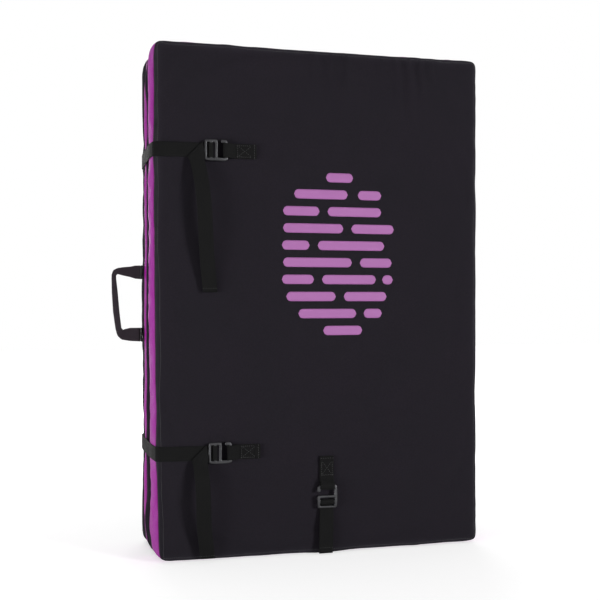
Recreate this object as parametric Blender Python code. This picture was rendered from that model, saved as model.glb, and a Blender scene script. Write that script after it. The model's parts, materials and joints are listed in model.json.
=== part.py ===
"""A folding bouldering crash pad, closed and standing on its short edge.

Metres, +Z up. +X points to the fold, +Y to the half that is worn against the back.
While it is built, x = 0 is the pad's middle, y = 0 the plane where the two halves
meet and z = 0 the ground. The last step moves the middle of its box to the origin.
"""

import math

import bmesh
import bpy
from mathutils import Vector

X = Vector((1, 0, 0))
Y = Vector((0, 1, 0))
Z = Vector((0, 0, 1))

# Pad halves
WIDTH = 0.595
HEIGHT = 0.890
HALF_DEPTH = 0.090
FOLD_GAP = 0.0006
PLAN_RADIUS = 0.010
LEAST_PLAN_RADIUS = 0.001
CARRY_EDGE_RADIUS = 0.006
LANDING_EDGE_RADIUS = 0.018
CROWN = 0.004
SIDE_BOW = 0.005
CLOTH = 0.0012
CLEARANCE = 0.0003
FOAM_SLACK = 0.0006
FRONT_WRAP = 0.010
BACK_WRAP = 0.056
CLOSED_CELL_FOAM = 0.025
CORNER_STEPS = 5
EDGE_STEPS = 3
CROWN_POWER = 8
BOW_DEPTH_SHARES = (0.12, 0.3, 0.5, 0.7, 0.88)
FACE_RING_SHARES = (0.97, 0.88, 0.7, 0.45)

# Fold
FOLD_AXIS_OUT = 0.006
HINGE_CLOTH_REACH = 0.024
HINGE_CLOTH_BULGE = 0.0012

# Webbing
WEB_WIDTH = 0.025
WEB = 0.0016
STRAP_GROOVE = 0.0030
GROOVE_SIDE = 0.0025
GROOVE_RAMP = 0.004

# Hook buckles
END_BAR = 0.005
WEB_SLOT = 0.004
MIDDLE_BAR = 0.005
INNER_BAR = 0.005
HOOK_GATE = 0.006
HOOK_MOUTH = 0.012
HOOK_BAR = 0.006
BUCKLE_RAIL = 0.00525
BUCKLE_INNER_WIDTH = 0.026
BUCKLE_THICKNESS = 0.004
METAL_ROUNDING = 0.0007

# Closure straps
STRAP_HEIGHT_FROM_MIDDLE = 0.2585
UPPER_BUCKLE_INSET = 0.085
LOWER_BUCKLE_INSET = 0.092
BOTTOM_STRAP_X = 0.0055
BOTTOM_BUCKLE_HEIGHT = 0.082
TAB_REACH = 0.091
TAB_SLOPE = 0.008
STRAP_BACK_RUN = 0.080
BOTTOM_STRAP_SEAM = 0.060
CREASE_CLEARANCE = 0.002
UPPER_TAIL = 0.230
LOWER_TAIL = 0.160
BOTTOM_TAIL = 0.074
TAIL_DRIFT = 0.013
TAIL_LIFT = 0.006
TAIL_DROP_SHARES = (0.1, 0.25, 0.45, 0.7, 0.88, 1.0)

# Carry handle
HANDLE_REACH = 0.063
HANDLE_TOP = 0.511
HANDLE_BOTTOM = 0.372
HANDLE_DEPTH = 0.055
HANDLE_GRIP_WIDTH = 0.012
HANDLE_GRIP_THICKNESS = 0.0036
HANDLE_LEAN = 0.003
HANDLE_END = 0.022
HANDLE_SWING_GAP = 0.00095

# Shoulder straps
SHOULDER_SPACING = 0.180
SHOULDER_TOP = 0.690
SHOULDER_LENGTH = 0.370
SHOULDER_WIDTH = 0.065
SHOULDER_PADDING = 0.012
SHOULDER_ARCH = 0.052
SHOULDER_PATH_SHARES = (
    (0.0, 0.0),
    (0.08, 0.0),
    (0.2, 0.34),
    (0.38, 0.83),
    (0.55, 1.0),
    (0.72, 0.88),
    (0.86, 0.6),
    (1.0, 0.36),
)
SHOULDER_STEPS = 16
PADDED_SECTION_POINTS = 12
LOCK_TILT_BAR = 0.005
LOCK_FAR_SLOT = 0.010
LOCK_TAB_LAP = 0.040
ANCHOR_HEIGHT = 0.105
ANCHOR_LENGTH = 0.040
ANCHOR_WIDTH = 0.036
SHOULDER_TAIL = 0.090

# Waist belt
BELT_HEIGHT = 0.065
BELT_REACH = 0.170
BELT_BUCKLE_LENGTH = 0.034
BELT_BUCKLE_WIDTH = 0.036
BELT_BUCKLE_THICKNESS = 0.010
BELT_BUCKLE_WALL = 0.002
PRONG_LENGTH = 0.024
PRONG_WIDTH = 0.007
PRONG_THICKNESS = 0.004
MALE_BODY = 0.010

# Foam access zips
ZIP_END_MARGIN = 0.055
ZIP_TAPE_WIDTH = 0.028
ZIP_TEETH_WIDTH = 0.006
ZIP_TEETH_HEIGHT = 0.0016
SLIDER_LENGTH = 0.014
SLIDER_WIDTH = 0.010
SLIDER_TOP = 0.0014

FRONT = -1
BACK = 1
SKIN_DEPTH = HALF_DEPTH - FOLD_GAP / 2
BOW_RUN = SKIN_DEPTH - CARRY_EDGE_RADIUS - LANDING_EDGE_RADIUS
WEB_OUT = WEB / 2 + CLEARANCE
FACE_LEVEL = HALF_DEPTH + CROWN + CLEARANCE
MIDDLE_HEIGHT = HEIGHT / 2

# Colours
BLACK_CLOTH = (0.018, 0.016, 0.021)
PURPLE_CLOTH = (0.37, 0.075, 0.36)
BLACK_WEBBING = (0.013, 0.013, 0.014)
DARK_FOAM = (0.05, 0.05, 0.06)
LIGHT_FOAM = (0.62, 0.58, 0.42)
BARE_STEEL = (0.35, 0.34, 0.33)
BLACK_PLASTIC = (0.02, 0.02, 0.02)


def material_of(name, colour, roughness, metallic):
    material = bpy.data.materials.new(name)
    material.use_nodes = True
    shader = material.node_tree.nodes["Principled BSDF"]
    shader.inputs["Base Color"].default_value = (*colour, 1)
    shader.inputs["Roughness"].default_value = roughness
    shader.inputs["Metallic"].default_value = metallic
    material.diffuse_color = (*colour, 1)
    return material


def add_empty(name, at, parent=None):
    empty = bpy.data.objects.new(name, None)
    bpy.context.scene.collection.objects.link(empty)
    empty.parent = parent
    empty.location = at
    return empty


def world_place(thing):
    """Where an object of this file stands: parents here only move their children."""
    place = Vector(thing.location)
    while thing.parent:
        thing = thing.parent
        place += thing.location
    return place


def add_mesh(name, build, colour, parent, pivot=None, roughness=0.8, metallic=0.0):
    """One node: `build` fills a bmesh in the pad's own coordinates."""
    shape = bmesh.new()
    build(shape)
    bmesh.ops.recalc_face_normals(shape, faces=shape.faces)
    place = Vector(pivot) if pivot else world_place(parent)
    bmesh.ops.translate(shape, verts=shape.verts, vec=-place)
    mesh = bpy.data.meshes.new(name)
    shape.to_mesh(mesh)
    shape.free()
    mesh.shade_smooth()
    mesh.set_sharp_from_angle(angle=math.radians(40))
    piece = bpy.data.objects.new(name, mesh)
    bpy.context.scene.collection.objects.link(piece)
    piece.parent = parent
    piece.location = place - world_place(parent)
    mesh.materials.append(material_of(name, colour, roughness, metallic))
    return piece


def loops_into(shape, loops, ring=False):
    """Skins over closed loops of as many points each; a ring joins the last loop to the first."""
    rows = [[shape.verts.new(point) for point in loop] for loop in loops]
    pairs = list(zip(rows, rows[1:]))
    if ring:
        pairs.append((rows[-1], rows[0]))
    else:
        shape.faces.new(rows[0])
        shape.faces.new(rows[-1])
    count = len(rows[0])
    for near, far in pairs:
        for i in range(count):
            j = (i + 1) % count
            shape.faces.new((near[i], near[j], far[j], far[i]))


def add_loops(name, loops, colour, parent, ring=False, **options):
    return add_mesh(name, lambda shape: loops_into(shape, loops, ring), colour, parent, **options)


# Pad halves


def plan_points():
    """(x, z, outward x, outward z, turn x, turn z) round the pad, with the groove for the bottom strap.

    A corner's points share its sharp corner, and their turn points to it from the rounding's middle.
    """
    points = []
    corners = (
        (WIDTH / 2, 0, 1, -1, -90),
        (WIDTH / 2, HEIGHT, 1, 1, 0),
        (-WIDTH / 2, HEIGHT, -1, 1, 90),
        (-WIDTH / 2, 0, -1, -1, 180),
    )
    for x, z, turn_x, turn_z, start in corners:
        for step in range(CORNER_STEPS + 1):
            angle = math.radians(start + 90 * step / CORNER_STEPS)
            points.append((x, z, math.cos(angle), math.sin(angle), turn_x, turn_z))
    floor_half = WEB_WIDTH / 2 + GROOVE_SIDE
    for across, depth in (
        (-floor_half - GROOVE_RAMP, 0),
        (-floor_half, STRAP_GROOVE),
        (floor_half, STRAP_GROOVE),
        (floor_half + GROOVE_RAMP, 0),
    ):
        points.append((BOTTOM_STRAP_X + across, depth, 0, -1, 0, -1))
    return points


PLAN = plan_points()


def bow_at(depth):
    """How far the open side and the top swell at this depth behind the carry face."""
    share = (depth - CARRY_EDGE_RADIUS) / BOW_RUN
    return SIDE_BOW * math.sin(math.pi * min(max(share, 0), 1))


def crown_at(share):
    """How far the carry face stands out at this share of the way from its middle to its edge."""
    return CROWN * (1 - share**CROWN_POWER)


def side_loop(side, inset, depth):
    """The outline at a depth behind the carry face, `inset` inside the sides."""
    radius = max(PLAN_RADIUS, inset + LEAST_PLAN_RADIUS)
    loop = []
    for x, z, out_x, out_z, turn_x, turn_z in PLAN:
        swell = bow_at(depth) * (max(-out_x, 0) ** 2 + max(out_z, 0) ** 2)
        out = swell - inset
        x += radius * (out_x - turn_x)
        z += radius * (out_z - turn_z)
        loop.append(Vector((x + out_x * out, side * (HALF_DEPTH - depth), z + out_z * out)))
    return loop


def face_loop(side, inside, share):
    """A ring of the crowned carry face, `inside` its outer skin."""
    middle = Vector((0, 0, MIDDLE_HEIGHT))
    level = HALF_DEPTH + crown_at(share) - inside
    loop = []
    for point in side_loop(side, CARRY_EDGE_RADIUS, 0):
        flat = middle + share * (Vector((point.x, 0, point.z)) - middle)
        loop.append(Vector((flat.x, side * level, flat.z)))
    return loop


def carry_edge_loops(side, inside):
    """From the carry face's rim to where the side starts."""
    radius = CARRY_EDGE_RADIUS - inside
    loops = []
    for step in range(EDGE_STEPS + 1):
        angle = math.pi / 2 * step / EDGE_STEPS
        inset = CARRY_EDGE_RADIUS - radius * math.sin(angle)
        depth = CARRY_EDGE_RADIUS - radius * math.cos(angle)
        loops.append(side_loop(side, inset, depth))
    return loops


def landing_edge_loops(side, inside):
    """From where the side ends to the landing face's rim."""
    radius = LANDING_EDGE_RADIUS - inside
    loops = []
    for step in range(EDGE_STEPS + 1):
        angle = math.pi / 2 * step / EDGE_STEPS
        inset = LANDING_EDGE_RADIUS - radius * math.cos(angle)
        depth = SKIN_DEPTH - LANDING_EDGE_RADIUS + radius * math.sin(angle)
        loops.append(side_loop(side, inset, depth))
    return loops


def wall_loops(side, inside, first, last):
    """The bowed side between two depths."""
    depths = [CARRY_EDGE_RADIUS + share * BOW_RUN for share in BOW_DEPTH_SHARES]
    depths = [first] + [depth for depth in depths if first < depth < last] + [last]
    return [side_loop(side, inside, depth) for depth in depths]


def carry_skin(side, inside, wrap):
    """The carry side's skin from the middle of its face to the end of its wrap."""
    face = [face_loop(side, inside, share) for share in reversed(FACE_RING_SHARES)]
    edge = carry_edge_loops(side, inside)
    return face + edge + wall_loops(side, inside, CARRY_EDGE_RADIUS, wrap)[1:]


def add_carry_panel(name, side, wrap, parent):
    loops = carry_skin(side, 0, wrap) + carry_skin(side, CLOTH, wrap)[::-1]
    add_loops(name, loops, BLACK_CLOTH, parent)


def add_gusset(name, side, wrap, parent):
    first = wrap + CLEARANCE
    last = SKIN_DEPTH - LANDING_EDGE_RADIUS - CLEARANCE
    loops = wall_loops(side, 0, first, last) + wall_loops(side, CLOTH, first, last)[::-1]
    add_loops(name, loops, PURPLE_CLOTH, parent, ring=True)


def add_landing_panel(name, side, parent):
    loops = landing_edge_loops(side, 0)[::-1] + landing_edge_loops(side, CLOTH)
    add_loops(name, loops, BLACK_CLOTH, parent)


def add_open_cell_foam(name, side, parent):
    inside = CLOTH + FOAM_SLACK
    last = SKIN_DEPTH - inside - CLOSED_CELL_FOAM - CLEARANCE
    add_loops(name, carry_skin(side, inside, last), LIGHT_FOAM, parent)


def add_closed_cell_foam(name, side, parent):
    inside = CLOTH + FOAM_SLACK
    first = SKIN_DEPTH - inside - CLOSED_CELL_FOAM
    wall = wall_loops(side, inside, first, SKIN_DEPTH - LANDING_EDGE_RADIUS)
    add_loops(name, wall + landing_edge_loops(side, inside)[1:], DARK_FOAM, parent)


def add_half(prefix, side, wrap, parent):
    add_carry_panel(f"{prefix}_carry_panel", side, wrap, parent)
    add_gusset(f"{prefix}_gusset", side, wrap, parent)
    add_landing_panel(f"{prefix}_landing_panel", side, parent)
    add_open_cell_foam(f"{prefix}_open_cell_foam", side, parent)
    add_closed_cell_foam(f"{prefix}_closed_cell_foam", side, parent)


def add_hinge_cloth(parent):
    """The cloth that joins the halves: it bridges the groove between their rounded edges."""
    near = WIDTH / 2 + CLEARANCE
    loops = []
    for z in (PLAN_RADIUS, HEIGHT - PLAN_RADIUS):
        inner = [
            (near, -HINGE_CLOTH_REACH),
            (near + HINGE_CLOTH_BULGE, 0),
            (near, HINGE_CLOTH_REACH),
        ]
        outer = [(x + CLOTH, y) for x, y in reversed(inner)]
        loops.append([Vector((x, y, z)) for x, y in inner + outer])
    add_loops("hinge_cloth", loops, BLACK_CLOTH, parent)


# Zips on the hinge side, one for each half's foam


def add_zip(prefix, side, parent):
    wall = WIDTH / 2 + CLEARANCE
    tape = wall + CLOTH
    teeth = tape + ZIP_TEETH_HEIGHT
    middle = side * HALF_DEPTH / 2
    half_tape = ZIP_TAPE_WIDTH / 2
    half_teeth = ZIP_TEETH_WIDTH / 2
    section = (
        (wall, -half_tape),
        (wall, half_tape),
        (tape, half_tape),
        (tape, half_teeth),
        (teeth, half_teeth),
        (teeth, -half_teeth),
        (tape, -half_teeth),
        (tape, -half_tape),
    )
    bottom, top = ZIP_END_MARGIN, HEIGHT - ZIP_END_MARGIN
    loops = [[Vector((x, middle + y, z)) for x, y in section] for z in (bottom, top)]
    add_loops(f"{prefix}_zip_tape", loops, BLACK_WEBBING, parent)
    low = tape + CLEARANCE
    roof = teeth + CLEARANCE
    half_slider = SLIDER_WIDTH / 2
    channel = half_teeth + CLEARANCE
    section = (
        (low, -half_slider),
        (low, -channel),
        (roof, -channel),
        (roof, channel),
        (low, channel),
        (low, half_slider),
        (roof + SLIDER_TOP, half_slider),
        (roof + SLIDER_TOP, -half_slider),
    )
    loops = [[Vector((x, middle + y, z)) for x, y in section] for z in (bottom, bottom + SLIDER_LENGTH)]
    add_loops(
        f"{prefix}_zip_slider",
        loops,
        BARE_STEEL,
        parent,
        pivot=(low, middle, bottom),
        roughness=0.4,
        metallic=1.0,
    )


# Webbing


def station(centre, across, up):
    """A strip's four corners: `across` is half its width and `up` half its thickness."""
    return [centre - across - up, centre + across - up, centre + across + up, centre - across + up]


def strip_loops(path, across, half_thickness):
    """A strip of even width along a path square to `across`, mitred where it turns."""
    loops = []
    aside = across.normalized()
    for i, point in enumerate(path):
        into = (point - path[i - 1]).normalized() if i else (path[1] - point).normalized()
        out = (path[i + 1] - point).normalized() if i + 1 < len(path) else into
        normal_in, normal_out = into.cross(aside), out.cross(aside)
        normal = (normal_in + normal_out).normalized()
        reach = half_thickness / max(normal.dot(normal_in), 0.5)
        loops.append(station(point, across, normal * reach))
    return loops


class Seat:
    """A buckle's place: u runs along its strap from its end bar, v across, w away from the pad."""

    def __init__(self, origin, u, v):
        self.origin, self.u, self.v = Vector(origin), u, v
        self.w = u.cross(v)

    def at(self, u, v, w):
        return self.origin + self.u * u + self.v * v + self.w * w


# Heights above a buckle's seat, from the pad outwards
LOAD_LEVEL = WEB / 2
TAIL_LEVEL = LOAD_LEVEL + WEB + CLEARANCE
BAR_BOTTOM = TAIL_LEVEL + WEB / 2 + CLEARANCE
BAR_LEVEL = BAR_BOTTOM + BUCKLE_THICKNESS / 2
OVER_LEVEL = BAR_BOTTOM + BUCKLE_THICKNESS + CLEARANCE + WEB / 2
FOLDED_LEVEL = TAIL_LEVEL + WEB + CLEARANCE

NEAR_SLOT = END_BAR + WEB_SLOT / 2
FAR_SLOT = END_BAR + WEB_SLOT + MIDDLE_BAR + WEB_SLOT / 2
HOOK_MIDDLE = END_BAR + 2 * WEB_SLOT + MIDDLE_BAR + INNER_BAR + HOOK_MOUTH + HOOK_BAR / 2
LOCK_MIDDLE = END_BAR + WEB_SLOT + MIDDLE_BAR + LOCK_FAR_SLOT + LOCK_TILT_BAR / 2


def threading(seat):
    """The strap's way through a buckle: under it, up the far slot and back down the near one."""
    ways = (
        (FAR_SLOT, LOAD_LEVEL),
        (FAR_SLOT, OVER_LEVEL),
        (NEAR_SLOT, OVER_LEVEL),
        (NEAR_SLOT, TAIL_LEVEL),
    )
    return [seat.at(u, 0, w) for u, w in ways]


def plate_into(shape, seat, columns, gate):
    """A buckle plate: `columns` are (length, filled across) along u, `gate` the column left open in one rail."""
    half = BUCKLE_INNER_WIDTH / 2
    rows = (-half - BUCKLE_RAIL, -half, half, half + BUCKLE_RAIL)
    edges = [0]
    for length, _ in columns:
        edges.append(edges[-1] + length)
    verts = {}

    def corner(i, j):
        if (i, j) not in verts:
            verts[i, j] = shape.verts.new(seat.at(edges[i], rows[j], BAR_BOTTOM))
        return verts[i, j]

    for i, (_, filled) in enumerate(columns):
        for j in range(3):
            if (j == 1 and not filled) or (j == 2 and i == gate):
                continue
            shape.faces.new((corner(i, j), corner(i + 1, j), corner(i + 1, j + 1), corner(i, j + 1)))
    grown = bmesh.ops.extrude_face_region(shape, geom=list(shape.faces))
    top = [item for item in grown["geom"] if isinstance(item, bmesh.types.BMVert)]
    bmesh.ops.translate(shape, verts=top, vec=seat.w * BUCKLE_THICKNESS)
    bmesh.ops.recalc_face_normals(shape, faces=shape.faces)
    sharp = [edge for edge in shape.edges if edge.calc_face_angle(0) > 1]
    bmesh.ops.bevel(shape, geom=sharp, offset=METAL_ROUNDING, segments=1, affect="EDGES")


def add_hook_buckle(name, seat, parent):
    columns = (
        (END_BAR, True),
        (WEB_SLOT, False),
        (MIDDLE_BAR, True),
        (WEB_SLOT, False),
        (INNER_BAR, True),
        (HOOK_GATE, False),
        (HOOK_MOUTH - HOOK_GATE, False),
        (HOOK_BAR, True),
    )
    gate = 5
    add_mesh(
        name,
        lambda shape: plate_into(shape, seat, columns, gate),
        BARE_STEEL,
        parent,
        pivot=seat.at(HOOK_MIDDLE, 0, BAR_LEVEL),
        roughness=0.35,
        metallic=1.0,
    )


def add_ladder_lock(name, seat, parent):
    columns = (
        (END_BAR, True),
        (WEB_SLOT, False),
        (MIDDLE_BAR, True),
        (LOCK_FAR_SLOT, False),
        (LOCK_TILT_BAR, True),
    )
    add_mesh(
        name,
        lambda shape: plate_into(shape, seat, columns, None),
        BLACK_PLASTIC,
        parent,
        pivot=seat.at(LOCK_MIDDLE, 0, BAR_LEVEL),
        roughness=0.5,
    )


def tab_path(seat, bar_middle, bar_width, reach):
    """A sewn loop round a bar, with room for the bar to turn in it."""
    turn = math.hypot(bar_width / 2, BUCKLE_THICKNESS / 2) + CLEARANCE
    out = turn + WEB / 2
    low, high = LOAD_LEVEL, BAR_LEVEL + out
    ways = [(reach, low), (bar_middle + turn, low)]
    for angle in (250, 215, 180, 145, 110):
        flat = math.radians(angle)
        ways.append((bar_middle + out * math.cos(flat) * ROUND_REACH, BAR_LEVEL + out * math.sin(flat) * ROUND_REACH))
    ways += [(bar_middle + turn, high), (bar_middle + turn + TAB_SLOPE, TAIL_LEVEL), (reach, TAIL_LEVEL)]
    return [seat.at(u, 0, w) for u, w in ways]


# Lets the chords of a round way clear the circle that they stand for
ROUND_REACH = 1.06


def add_strip(name, path, across, parent, colour=BLACK_WEBBING, half_thickness=WEB / 2):
    add_loops(name, strip_loops(path, across, half_thickness), colour, parent)


def add_tab(name, seat, parent):
    path = tab_path(seat, HOOK_MIDDLE, HOOK_BAR, TAB_REACH)
    add_strip(name, path, seat.v * (WEB_WIDTH / 2), parent)


# Closure straps


def side_wrap_ways():
    """(inset from the side, distance from the fold plane) of a strap from a carry face to mid depth."""
    ways = []
    edge_half = WIDTH / 2 - CARRY_EDGE_RADIUS
    rise_shares = (FACE_RING_SHARES[1], FACE_RING_SHARES[0])
    for share in rise_shares:
        level = CROWN if share == rise_shares[0] else crown_at(share) + CLEARANCE
        ways.append((WIDTH / 2 - edge_half * share, HALF_DEPTH + level + WEB_OUT))
    reach = CARRY_EDGE_RADIUS + WEB_OUT + CLEARANCE
    for step in range(EDGE_STEPS + 2):
        angle = math.pi / 2 * step / (EDGE_STEPS + 1)
        inset = CARRY_EDGE_RADIUS - reach * math.sin(angle)
        depth = CARRY_EDGE_RADIUS - reach * math.cos(angle)
        ways.append((inset, HALF_DEPTH - depth))
    for share in BOW_DEPTH_SHARES[:3]:
        depth = CARRY_EDGE_RADIUS + share * BOW_RUN
        ways.append((-bow_at(depth) - WEB_OUT - CLEARANCE, HALF_DEPTH - depth))
    return ways


def tail_shift(share):
    return TAIL_DRIFT * share**1.5


def folded_tail(seat, length):
    """The strap's free end: it folds over a 45 degree crease and hangs down."""
    half = WEB_WIDTH / 2
    middle = -CREASE_CLEARANCE - half
    crease = (seat.u + seat.v) * half
    outward = (seat.v - seat.u).normalized()
    turn = (WEB + CLEARANCE) / 2
    first = seat.at(middle, 0, TAIL_LEVEL)
    loops = [
        station(first, crease, -seat.w * (WEB / 2)),
        station(first + seat.w * turn + outward * turn, crease, outward * (WEB / 2)),
        station(first + seat.w * (2 * turn), crease, seat.w * (WEB / 2)),
    ]
    for share in TAIL_DROP_SHARES:
        lift = TAIL_LIFT * math.sin(math.pi * share)
        centre = seat.at(middle + tail_shift(share), -half - length * share, FOLDED_LEVEL + lift)
        loops.append(station(centre, seat.u * half, seat.w * (WEB / 2)))
    return loops


def hanging_tail(seat, length):
    """The bottom strap's free end: it hangs straight down over its own strap."""
    half = WEB_WIDTH / 2
    loops = []
    for share in TAIL_DROP_SHARES:
        lift = TAIL_LIFT * math.sin(math.pi * share) / 2
        centre = seat.at(-length * share, 0, TAIL_LEVEL + lift)
        loops.append(station(centre, seat.v * half, -seat.w * (WEB / 2)))
    return loops


def strap_loops(seat, path):
    """A strap's loops along its path and through its buckle, each with the same corner first."""
    across = seat.v * (WEB_WIDTH / 2)
    whole = path + threading(seat)
    exit_point = seat.at(-CREASE_CLEARANCE / 2, 0, TAIL_LEVEL)
    return strip_loops(whole + [exit_point], across, WEB / 2)


def add_side_strap(name, seat, tail, parent):
    height = seat.origin.z
    ways = side_wrap_ways()
    back = [Vector((inset - WIDTH / 2, y, height)) for inset, y in ways]
    front = [Vector((inset - WIDTH / 2, -y, height)) for inset, y in reversed(ways)]
    start = Vector((STRAP_BACK_RUN - WIDTH / 2, back[0].y, height))
    loops = strap_loops(seat, [start] + back + front)
    add_loops(name, loops + folded_tail(seat, tail), BLACK_WEBBING, parent)


def add_bottom_strap(name, seat, tail, parent):
    reach = CARRY_EDGE_RADIUS + WEB_OUT + CLEARANCE
    under = STRAP_GROOVE - WEB_OUT - CLEARANCE
    path = [Vector((seat.origin.x, BOTTOM_STRAP_SEAM, under))]
    for step in range(EDGE_STEPS + 2):
        angle = math.pi / 2 * step / (EDGE_STEPS + 1)
        y = CARRY_EDGE_RADIUS - HALF_DEPTH - reach * math.sin(angle)
        z = STRAP_GROOVE + CARRY_EDGE_RADIUS - reach * math.cos(angle)
        path.append(Vector((seat.origin.x, y, z)))
    edge_half = MIDDLE_HEIGHT - CARRY_EDGE_RADIUS
    for share in FACE_RING_SHARES[:2]:
        level = crown_at(share) + CLEARANCE if share == FACE_RING_SHARES[0] else CROWN
        path.append(Vector((seat.origin.x, -HALF_DEPTH - level - WEB_OUT, MIDDLE_HEIGHT - edge_half * share)))
    add_loops(name, strap_loops(seat, path) + hanging_tail(seat, tail), BLACK_WEBBING, parent)


def closure_seats():
    level = -FACE_LEVEL
    left = -WIDTH / 2
    return {
        "upper": Seat((left + UPPER_BUCKLE_INSET, level, MIDDLE_HEIGHT + STRAP_HEIGHT_FROM_MIDDLE), X, Z),
        "lower": Seat((left + LOWER_BUCKLE_INSET, level, MIDDLE_HEIGHT - STRAP_HEIGHT_FROM_MIDDLE), X, Z),
        "bottom": Seat((BOTTOM_STRAP_X, level, BOTTOM_BUCKLE_HEIGHT), Z, -X),
    }


def add_closures(front, back):
    seats = closure_seats()
    for name, seat in seats.items():
        add_tab(f"{name}_closure_tab", seat, front)
        add_hook_buckle(f"{name}_hook_buckle", seat, front)
    add_side_strap("upper_closure_strap", seats["upper"], UPPER_TAIL, back)
    add_side_strap("lower_closure_strap", seats["lower"], LOWER_TAIL, back)
    add_bottom_strap("bottom_closure_strap", seats["bottom"], BOTTOM_TAIL, back)


# Carry handle


def handle_wall():
    """x of the open side's cloth at the handle's depth."""
    return -WIDTH / 2 - bow_at(HALF_DEPTH - HANDLE_DEPTH)


def add_handle(parent):
    half = WEB_WIDTH / 2
    grip_half = HANDLE_GRIP_WIDTH / 2
    top, bottom = HANDLE_TOP - half, HANDLE_BOTTOM + half
    sewn = handle_wall() - CLEARANCE - WEB - HANDLE_SWING_GAP
    outer = handle_wall() - HANDLE_REACH
    grip = outer + grip_half
    corner = outer + half
    thin = Y * (WEB / 2)
    thick = Y * (HANDLE_GRIP_THICKNESS / 2)
    lean = X * HANDLE_LEAN
    slope = math.sqrt(0.5)
    upper = [
        (Vector((sewn, HANDLE_DEPTH, top)), Z * half, thin),
        (Vector((corner, HANDLE_DEPTH, top)), Z * half, thin),
        (Vector((grip + half / 2, HANDLE_DEPTH, top - half / 4)), (Z - X) * (half * slope), thick),
        (Vector((grip, HANDLE_DEPTH, top - WEB_WIDTH)), -X * grip_half, thick),
    ]
    lower = [
        (Vector((grip, HANDLE_DEPTH, bottom + WEB_WIDTH)) + lean, -X * grip_half, thick),
        (Vector((grip + half / 2, HANDLE_DEPTH, bottom + half / 4)) + lean, -(Z + X) * (half * slope), thick),
        (Vector((corner, HANDLE_DEPTH, bottom)), -Z * half, thin),
        (Vector((sewn, HANDLE_DEPTH, bottom)), -Z * half, thin),
    ]
    loops = [station(*place) for place in upper + lower]
    axis = (sewn, HANDLE_DEPTH, (HANDLE_TOP + HANDLE_BOTTOM) / 2)
    add_loops("carry_handle", loops, BLACK_WEBBING, parent, pivot=axis)
    near = handle_wall() - CLEARANCE - WEB / 2
    for name, height in (("handle_upper_end", top), ("handle_lower_end", bottom)):
        path = [Vector((near, HANDLE_DEPTH + share * HANDLE_END, height)) for share in (-0.5, 0.5)]
        add_strip(name, path, Z * half, parent)


# Shoulder straps


def padded_section(centre, across, up):
    """A rounded section: `across` is half its width and `up` half its thickness."""
    ring = []
    for i in range(PADDED_SECTION_POINTS):
        angle = 2 * math.pi * (i + 0.5) / PADDED_SECTION_POINTS
        side, rise = math.cos(angle), math.sin(angle)
        ring.append(centre + across * math.copysign(abs(side) ** 0.6, side) + up * rise)
    return ring


def smooth_point(points, share):
    """A point of the smooth curve through `points`, at this share of its length in spans."""
    place = share * (len(points) - 1)
    i = min(int(place), len(points) - 2)
    t = place - i
    before, start = points[max(i - 1, 0)], points[i]
    end, after = points[i + 1], points[min(i + 2, len(points) - 1)]
    slope_in, slope_out = (end - before) / 2, (after - start) / 2
    return (
        start * (2 * t**3 - 3 * t**2 + 1)
        + slope_in * (t**3 - 2 * t**2 + t)
        + end * (3 * t**2 - 2 * t**3)
        + slope_out * (t**3 - t**2)
    )


def add_shoulder_pad(name, x, parent):
    level = FACE_LEVEL + SHOULDER_PADDING / 2
    route = []
    for along, arch in SHOULDER_PATH_SHARES:
        route.append(Vector((x, level + SHOULDER_ARCH * arch, SHOULDER_TOP - SHOULDER_LENGTH * along)))
    path = [smooth_point(route, step / SHOULDER_STEPS) for step in range(SHOULDER_STEPS + 1)]
    for point in path:
        point.y = max(point.y, level)
    loops = []
    for i, point in enumerate(path):
        along = path[min(i + 1, SHOULDER_STEPS)] - path[max(i - 1, 0)]
        up = X.cross(along).normalized() * (SHOULDER_PADDING / 2)
        loops.append(padded_section(point, X * (SHOULDER_WIDTH / 2), up))
    add_loops(name, loops, BLACK_CLOTH, parent)


def lock_seat(x):
    """The ladder-lock hangs on a tab sewn to the inner face of the shoulder pad's lower end."""
    end = FACE_LEVEL + SHOULDER_ARCH * SHOULDER_PATH_SHARES[-1][1]
    level = end - CLEARANCE - TAIL_LEVEL - WEB / 2
    height = SHOULDER_TOP - SHOULDER_LENGTH + LOCK_TAB_LAP / 2 - LOCK_MIDDLE - LOCK_TAB_LAP
    return Seat((x, level, height), Z, X)


def add_shoulder(side, x, parent):
    add_shoulder_pad(f"{side}_shoulder_pad", x, parent)
    seat = lock_seat(x)
    reach = LOCK_MIDDLE + LOCK_TAB_LAP
    across = X * (WEB_WIDTH / 2)
    add_strip(f"{side}_shoulder_tab", tab_path(seat, LOCK_MIDDLE, LOCK_TILT_BAR, reach), across, parent)
    add_ladder_lock(f"{side}_ladder_lock", seat, parent)
    patch = [Vector((x, FACE_LEVEL + WEB / 2, ANCHOR_HEIGHT + share * ANCHOR_LENGTH)) for share in (0, 1)]
    add_strip(f"{side}_shoulder_anchor", patch, X * (ANCHOR_WIDTH / 2), parent)
    on_patch = FACE_LEVEL + WEB + CLEARANCE + WEB / 2
    start = Vector((x, on_patch, ANCHOR_HEIGHT + GROOVE_RAMP))
    bend = Vector((x, on_patch, ANCHOR_HEIGHT + ANCHOR_LENGTH))
    loops = strap_loops(seat, [start, bend, seat.at(-END_BAR, 0, LOAD_LEVEL)])
    tail = hanging_tail(seat, SHOULDER_TAIL)
    add_loops(f"{side}_shoulder_webbing", loops + tail, BLACK_WEBBING, parent)


# Waist belt


def belt_level():
    """How far the back face stands from the fold plane at the waist buckle's upper edge."""
    above = MIDDLE_HEIGHT - BELT_HEIGHT - BELT_BUCKLE_WIDTH / 2
    return HALF_DEPTH + crown_at(above / (MIDDLE_HEIGHT - CARRY_EDGE_RADIUS)) + CLEARANCE


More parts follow.
